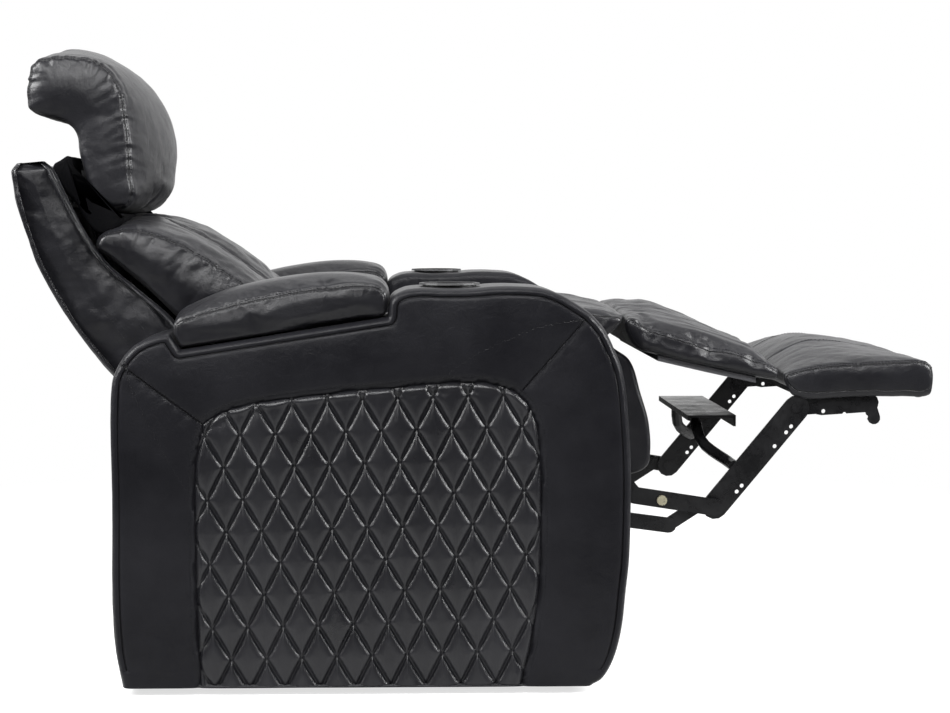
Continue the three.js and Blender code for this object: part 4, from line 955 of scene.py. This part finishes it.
def shell_section(reach, half, inner):
    """The shell's section at each height, as depth and width places round a C with rounded corners. The first
    and last rows are drawn in to close the ends."""
    turn = np.linspace(0, math.pi / 2, 7)
    ends = CORNER * (1 - np.sin(turn))
    inset = np.r_[ends, np.zeros(len(reach) - 2 * len(turn)), ends[::-1]]
    depths, bends = (0 * reach, reach, np.clip(SHELL_WALL, 0, reach * 0.62)), (CORNER, CORNER, POCKET_CORNER)
    # Each corner: depth (0 rear, 1 front, 2 pocket floor), width, and the ways its bend goes in depth and width.
    corners = [(1, -half, -1, 1), (0, -half, 1, 1), (0, half, 1, -1), (1, half, -1, -1), (1, inner, -1, 1),
               (2, inner, -1, -1), (2, -inner, -1, 1), (1, -inner, -1, -1)]
    section = []
    for order, (kind, width, inward, across) in enumerate(corners):
        for angle in turn[::-1] if order % 2 else turn:
            section.append([depths[kind] + inward * (bends[kind] * (1 - math.sin(angle)) + inset),
                            width + across * (bends[kind] * (1 - math.cos(angle)) + inset)])
    filled = []
    for here, there in zip(section, section[1:] + section[:1]):
        here, there = np.array(here), np.array(there)
        steps = max(1, int(np.abs(there - here).max() / SECTION_STEP))
        filled += [here * (1 - k / steps) + there * (k / steps) for k in range(steps)]
    return np.array(filled).transpose(2, 0, 1)


def back_shell():
    """The back's shell: its C-shaped section of rear wall and two wings, carried up the side view."""
    rear, front = map(in_place, spaced([curve(SHELL_REAR), curve(SHELL_FRONT)], 190))
    half = SHELL_HALF - 8 * MM
    section = shell_section(np.linalg.norm(front - rear, axis=1), half, SHELL_HALF - SHELL_WING)
    flat = rear[:, None] + unit(front - rear)[:, None] * section[..., :1]
    grid = np.dstack([flat[..., 0], section[..., 1], flat[..., 1]])
    rows, columns = grid.shape[:2]
    loop = np.arange(columns)
    made = piece("back_cover", grid.reshape(-1, 3), grid_faces(rows, columns, wrap=True))
    close_over(made, loop, loop + (rows - 1) * columns)
    points = coordinates(made)
    rim = np.vstack([rear[::4], front[::-4], rear[:1]])
    on_wing = np.abs(points[:, 1]) > half - 12 * MM
    swell = on_wing * (1 - np.exp(-distance_to(points[:, [0, 2]], rim) / (34 * MM))) * 14 * MM
    points[:, 1] += np.sign(points[:, 1]) * swell
    set_coordinates(made, points)
    side_line, rear_line = shell_line(0.94), shell_line(0.07)
    amount, seams = np.zeros(len(points)), []
    for end in (-1, 1):
        for line, measures, seed in (
                (at_width(side_line, end * SHELL_HALF), (2.2, 2.4, 0.9, 16, 10), 33),
                (at_width(rear_line, end * SHELL_HALF), (2.2, 2.4, 0.9, 16, 10), 34),
                (seam_line(SHELL_REAR, 60, end * REAR_SEAM_Y), (2.4, 2.6, 0.8, 16, 10), 35)):
            amount += sewn(points, line, *measures, seed)
            seams.append(line[2:-2])
    waves = cloudy(points, (0.055, 0.05, 0.045), seed=31) * (0.5 + 2.3 * side_face(vertex_normals(made)))
    push(made, amount + waves * MM)
    flat = points[:, [0, 2]]
    marks = nearest_seam(across_line(flat, side_line), across_line(flat, rear_line))
    marks = np.where(np.abs(points[:, 1]) > half - 6 * MM, marks, np.abs(points[:, 1]) - REAR_SEAM_Y)
    marks[flat[:, 1] > min(side_line[-1, 1], rear_line[-1, 1]) - 4 * MM] = NO_SEAM
    finish_piece(made, SOFT_HIDE, "back", "back_shell", seam=marks)
    stitching("back_stitching", made, seams, "back", STITCH_PAIR)


back_shell()

BACK_SIDE = [(-47, 687), (-43, 701), (-4, 716), (22, 716), (66, 704), (110, 685), (157, 654), (202, 622),
             (243, 584), (266, 546), (264, 522), (238, 502), (188, 492), (129, 527), (82, 574), (25, 626), (-19, 664)]
BACK_MIDDLE = [(-47, 688), (-38, 720), (-20, 738), (27, 739), (60, 733), (97, 716), (160, 679), (226, 630),
               (264, 588), (285, 546), (280, 517), (242, 500)] + BACK_SIDE[12:]
BACK_HALF = 253 * MM
LOOP_START, LOOP_END = in_place([[10, 735], [262, 590]])
LOOP_HALF = 0.118
LOOPS = (0.0, 0.02)


def racetrack(points, offset):
    """Distance to a sewn loop on the cushion's face: straight runs at a set width, round at both ends."""
    reach, half = np.linalg.norm(LOOP_END - LOOP_START), LOOP_HALF - offset
    along = (points[:, [0, 2]] - LOOP_START) @ unit(LOOP_END - LOOP_START)
    over = np.where(along < half, along - half, np.where(along > reach - half, along - reach + half, 0))
    return np.hypot(over, points[:, 1]) - half


def near_side(points, half, reach):
    return np.abs(np.abs(points[:, 1]) - half + 0.002) < reach


def side_bulge(points, normals, outline, height, reach):
    """A side face's swell: height (1 - exp(-d/reach)), d being the distance to the piece's side outline."""
    d = distance_to(points[:, [0, 2]], in_place(line_through(outline, 120, closed=True)))
    return height * (1 - np.exp(-d / reach)) * side_face(normals)


def back_cushion():
    """The back's cushion, with a double sewn loop on its face and gathered side seams."""
    made = loft("back_pillow", BACK_SIDE, BACK_MIDDLE, BACK_HALF, 14 * MM, power=1.9, count=260)
    deep = in_place([[129, 527], [-19, 664]])
    way = unit(deep[1] - deep[0])
    rear_ward = np.array([-way[1], way[0]])

    def held(p):
        grip = np.maximum(ease((p[:, [0, 2]] - deep[0]) @ rear_ward, -0.022, -0.008),
                          near_line(p, BACK_SIDE[:12], 120, 0.005) & near_side(p, BACK_HALF, 0.008))
        return np.maximum(grip, sum(np.abs(racetrack(p, offset)) < 0.004 for offset in LOOPS) > 0)

    points, normals = plump(made, held, cap=13 * MM, voxel=0.0068, looser=0.015)
    facing = ease(normals @ unit(np.array([0.55, 0, 0.83])), 0.1, 0.5)
    amount, lines = sewn_sides(points, BACK_SIDE[:12], 60, BACK_HALF - 1 * MM, 2.8, 2.8, 2.0, 13, 18, seed=43)
    for offset in LOOPS:
        amount -= 3.2 * MM * bell(racetrack(points, offset), 0.0032) * facing
    amount += cloudy(points, (0.09, 0.03, 0.035), seed=41) * 2.0 * MM
    push(made, amount + side_bulge(points, normals, BACK_SIDE, 9 * MM, 26 * MM))
    loops = [np.where(facing > 0.5, racetrack(points, offset), NO_SEAM) for offset in LOOPS]
    marks = nearest_seam(side_seam(points, BACK_SIDE, BACK_HALF), *loops)
    finish_piece(made, SOFT_HIDE, "back", "back_cushion", seam=marks)
    stitching("back_cushion_stitching", made, [line[2:-6] for line in lines], "back", STITCH_PAIR)


back_cushion()

NECK_SIDE = [(-122, 818), (-108, 831), (-94, 838), (-82, 806), (-62, 752), (-22, 744), (-1, 742), (-4, 727),
             (-40, 705), (-86, 760)]


def neck_panel():
    """The soft panel behind the headrest: a thin pad with cross folds, which lies between shell and headrest."""
    made = loft("neck_cover", NECK_SIDE, NECK_SIDE, 232 * MM, 8 * MM, rows=50, count=150, sharp=(6,))
    push(made, (cloudy(coordinates(made), (0.03, 0.09, 0.02), seed=51) * 1.6 - 1.5) * MM)
    finish_piece(made, BLACK_CLOTH, None, "neck_panel", slot="lining_cloth")
    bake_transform(made)


neck_panel()

HEAD_SIDE = [(-4, 752), (6, 757), (7, 813), (5, 860), (0.5, 896), (-5, 934), (-19, 965), (-38, 988), (-61, 998),
             (-94, 1001), (-132, 997), (-150, 991), (-157, 980), (-161, 950), (-161, 916), (-153, 907), (-120, 897),
             (-92, 886), (-81, 866), (-80, 848), (-72, 813), (-66, 766), (-60, 753)]
HEAD_MIDDLE = [(20, 750), (38, 762), (53, 812), (57, 855), (52, 887), (41, 919), (19, 955), (-6, 980), (-43, 1005),
               (-75, 1020), (-105, 1026), (-135, 1024), (-158, 1012), (-164, 975), (-162, 920)] + HEAD_SIDE[15:]
HEAD_HALF = 224 * MM


def headrest():
    """The headrest: a curved pad, hollow at the neck, with gathered side seams."""
    made = loft("headrest_pillow", HEAD_SIDE, HEAD_MIDDLE, HEAD_HALF, 12 * MM, power=1.75, count=280)
    held = lambda p: (near_line(p, HEAD_SIDE[:15], 160, 0.005) & near_side(p, HEAD_HALF, 0.009)
                      | near_line(p, HEAD_SIDE[15:], 60, 0.006))
    points, normals = plump(made, held, cap=11 * MM, voxel=0.0064, looser=0.004)
    amount, lines = sewn_sides(points, HEAD_SIDE[:15], 80, HEAD_HALF - 1 * MM, 3.2, 2.8, 2.4, 12, 16, seed=63)
    amount += cloudy(points, (0.05, 0.06, 0.04), seed=61) * 1.2 * MM
    push(made, amount + side_bulge(points, normals, HEAD_SIDE, 9 * MM, 20 * MM))
    finish_piece(made, SOFT_HIDE, "headrest", "headrest_pad", seam=side_seam(points, HEAD_SIDE, HEAD_HALF))
    stitching("headrest_stitching", made, [line[1:-1] for line in lines], "headrest", (-3.2 * MM, 3.2 * MM))


headrest()


# ---- seat, leg rest and apron

SEAT_SIDE = [(335, 495), (350, 508), (430, 526), (540, 549), (650, 568), (740, 579), (790, 576), (825, 570),
             (812, 553), (788, 534), (785, 521), (770, 519.5), (690, 519.5), (689, 470), (688, 459), (336, 436)]
SEAT_MIDDLE = [(335, 500), (352, 520), (430, 540), (540, 563), (650, 582), (740, 592), (790, 592), (825, 578),
               (812, 554)] + SEAT_SIDE[9:]
PAD_HALF = 266 * MM
SEAT_CROSS = x_at(560)


def seat_cushion():
    """The seat, with one cross seam and creases towards its front edge."""
    made = loft("seat_pillow", SEAT_SIDE, SEAT_MIDDLE, PAD_HALF, 16 * MM, power=3.0, count=300,
                sharp=(7, 10, 12, 14, 15))
    held = lambda p: (near_line(p, SEAT_SIDE[7:], 120, 0.012, (0, 3, 5, 7, 8))
                      | (np.abs(p[:, 0] - SEAT_CROSS) < 0.004) & (p[:, 2] > z_at(540)))
    points, normals = plump(made, held, cap=12 * MM, voxel=0.0074, looser=0.015)
    top = ease(normals[:, 2], 0.2, 0.6)
    amount = sewn_sides(points, SEAT_SIDE[:8], 50, PAD_HALF - 2 * MM, 2.4, 2.8, 1.6, 14, 16, seed=73)[0]
    amount -= 3.0 * MM * bell(points[:, 0] - SEAT_CROSS, 0.003) * top
    creases = cloudy(points, (0.09, 0.018, 0.03), seed=71) * ease(points[:, 0], x_at(640), x_at(780))
    push(made, amount + cloudy(points, (0.08, 0.06, 0.05), seed=72) * 1.4 * MM + creases * 1.6 * MM * top)
    cross = np.where(top > 0.5, points[:, 0] - SEAT_CROSS, NO_SEAM)
    marks = nearest_seam(side_seam(points, SEAT_SIDE, PAD_HALF), cross)
    finish_piece(made, SOFT_HIDE, "carriage", "seat_cushion", seam=marks)


seat_cushion()

CALF_SIDE = [(828, 570), (858, 556), (899, 542), (960, 525), (1042, 503), (1074, 486), (1081, 476), (1078, 465),
             (1042, 471), (960, 488.5), (879, 507.5), (841, 522)]
CALF_MIDDLE = [(829, 577), (856, 578), (888, 574), (942, 558), (1008, 527), (1052, 510), (1080, 490),
               (1079, 466)] + CALF_SIDE[8:]


def calf_pad():
    """The calf pad, with broad folds across its top."""
    made = loft("calf_pillow", CALF_SIDE, CALF_MIDDLE, PAD_HALF, 16 * MM, power=2.3, sharp=(7,))
    held = lambda p: near_line(p, CALF_SIDE[7:] + CALF_SIDE[:1], 80, 0.012)
    points, normals = plump(made, held, cap=10 * MM, voxel=0.0065, looser=0.025)
    top = ease(normals[:, 2], 0.1, 0.6)
    amount, lines = sewn_sides(points, CALF_SIDE[:7], 60, PAD_HALF - 3 * MM, 2.6, 2.8, 0.7, 20, 16, seed=83)
    amount += cloudy(points, (0.16, 0.022, 0.04), seed=81) * 2.6 * MM * top
    push(made, amount + cloudy(points, (0.09, 0.06, 0.04), seed=82) * 0.9 * MM)
    finish_piece(made, SOFT_HIDE, "calf_rest", "calf_pad", seam=side_seam(points, CALF_SIDE, PAD_HALF))
    stitching("calf_stitching", made, [line[1:-1] for line in lines], "calf_rest", STITCH_PAIR)


calf_pad()

OTTO_SIDE = [(1088, 474), (1107, 482), (1143, 490), (1205, 495), (1286, 499), (1317, 498), (1332, 491), (1336, 477),
             (1336, 460), (1328, 451), (1286, 450.3), (1205, 448.6), (1115, 448.6), (1100, 454)]
OTTO_MIDDLE = [(1088, 480), (1112, 502), (1160, 524), (1216, 522), (1272, 510), (1310, 502), (1331, 493),
               (1337, 477), (1337, 460)] + OTTO_SIDE[9:]
OTTO_SEAM_Y = 0.092
SKIRT_DROP = 13 * MM


def ottoman_pad():
    """The foot pad, with two lengthwise seams and a skirt that hangs lower beside its board."""
    made = loft("ottoman_pillow", OTTO_SIDE, OTTO_MIDDLE, PAD_HALF, 12 * MM, power=1.9)
    held = lambda p: (near_line(p, OTTO_SIDE[9:] + OTTO_SIDE[:1], 80, 0.01)
                      | (np.abs(np.abs(p[:, 1]) - OTTO_SEAM_Y) < 0.004) & (p[:, 2] > z_at(480)))
    points, normals = plump(made, held, cap=9 * MM, voxel=0.0065, looser=0.0)
    top = ease(normals[:, 2], 0.1, 0.6)
    amount, lines = sewn_sides(points, OTTO_SIDE[:8], 60, PAD_HALF - 2 * MM, 2.4, 2.6, 1.1, 13, 12, seed=93)
    amount -= 3.0 * MM * bell(np.abs(points[:, 1]) - OTTO_SEAM_Y, 0.0028) * top
    amount += cloudy(points, (0.05, 0.03, 0.04), seed=91) * 1.2 * MM
    points = points + normals * amount[:, None]
    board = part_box("ottoman_board")[1].y
    skirt = ease(np.abs(points[:, 1]), board + 2 * MM, board + 7 * MM)
    points[:, 2] -= SKIRT_DROP * skirt * ease(points[:, 2], z_at(478), z_at(455))
    set_coordinates(made, points)
    lengthwise = np.where(top > 0.5, np.abs(points[:, 1]) - OTTO_SEAM_Y, NO_SEAM)
    marks = nearest_seam(side_seam(points, OTTO_SIDE, PAD_HALF), lengthwise)
    finish_piece(made, SOFT_HIDE, "ottoman", "ottoman_pad", seam=marks)
    ridges = [seam_line(OTTO_MIDDLE[1:8], 50, end * OTTO_SEAM_Y) for end in (-1, 1)]
    stitching("ottoman_stitching", made, [line[1:-1] for line in lines] + ridges, "ottoman", STITCH_PAIR)


ottoman_pad()

APRON_SIDE = [(812, 518), (836, 500), (856, 444), (870, 395), (873, 346), (869, 321), (847, 305), (822, 307),
              (806, 346), (800, 395), (796, 444), (786, 480), (775, 500), (769, 512), (769, 518)]


def front_apron():
    """The soft flap below the seat, waving more towards its hem."""
    made = loft("apron_cover", APRON_SIDE, APRON_SIDE, 239 * MM, 12 * MM, rows=110, count=300, sharp=(0, 13, 14))
    points = coordinates(made)
    fall = ease(points[:, 2], z_at(500), z_at(330))
    push(made, (cloudy(points, (0.05, 0.07, 0.14), seed=101) * 2.4 * fall - 2.2) * MM)
    finish_piece(made, SOFT_HIDE, "apron", "front_apron")


front_apron()


# ---- rear panel

def rear_panel():
    """The board across the rear: a flat pad with rounded edges and two upright seams."""
    low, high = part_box("rear_panel")
    half_y, half_z = (high.y - low.y) / 2 - 1 * MM, (high.z - low.z) / 2
    middle_x, middle_z = (low.x + high.x) / 2, (low.z + high.z) / 2
    u = np.linspace(-1, 1, 90)
    y, z = np.meshgrid(np.sign(u) * np.abs(u)**0.9 * half_y, np.linspace(-1, 1, 60) * half_z)
    d = np.minimum(half_y - np.abs(y), half_z - np.abs(z))
    bulge = 6 * MM * ease(d, 0, 0.012) + 1 * MM - 2 * MM * bell(np.abs(y) - 0.14, 0.003)
    made = slab_between("rear_cover", np.dstack([y, z + middle_z]), middle_x - bulge, middle_x + bulge, 2)
    # The slab is built as a side view, so its depth and width change places, which turns its faces.
    set_coordinates(made, coordinates(made)[:, [1, 0, 2]])
    made.data.flip_normals()
    finish_piece(made, HIDE, "base", "rear_panel")


rear_panel()


# ---- looks of the CAD pieces that stay

LOOKS = {"black_steel": STEEL, "lining_cloth": LINING, "black_plastic": PLASTIC, "bright_steel": PLATED,
         "zinc_steel": ZINC, "black_leather": HIDE}
for part in frame["record"]["subparts"]:
    shown = frame["nodes"][part["node"]]
    if shown.hide_render:
        continue
    for place in shown.material_slots:
        place.link = "OBJECT"
        place.material = LOOKS[part["material_slot"]]
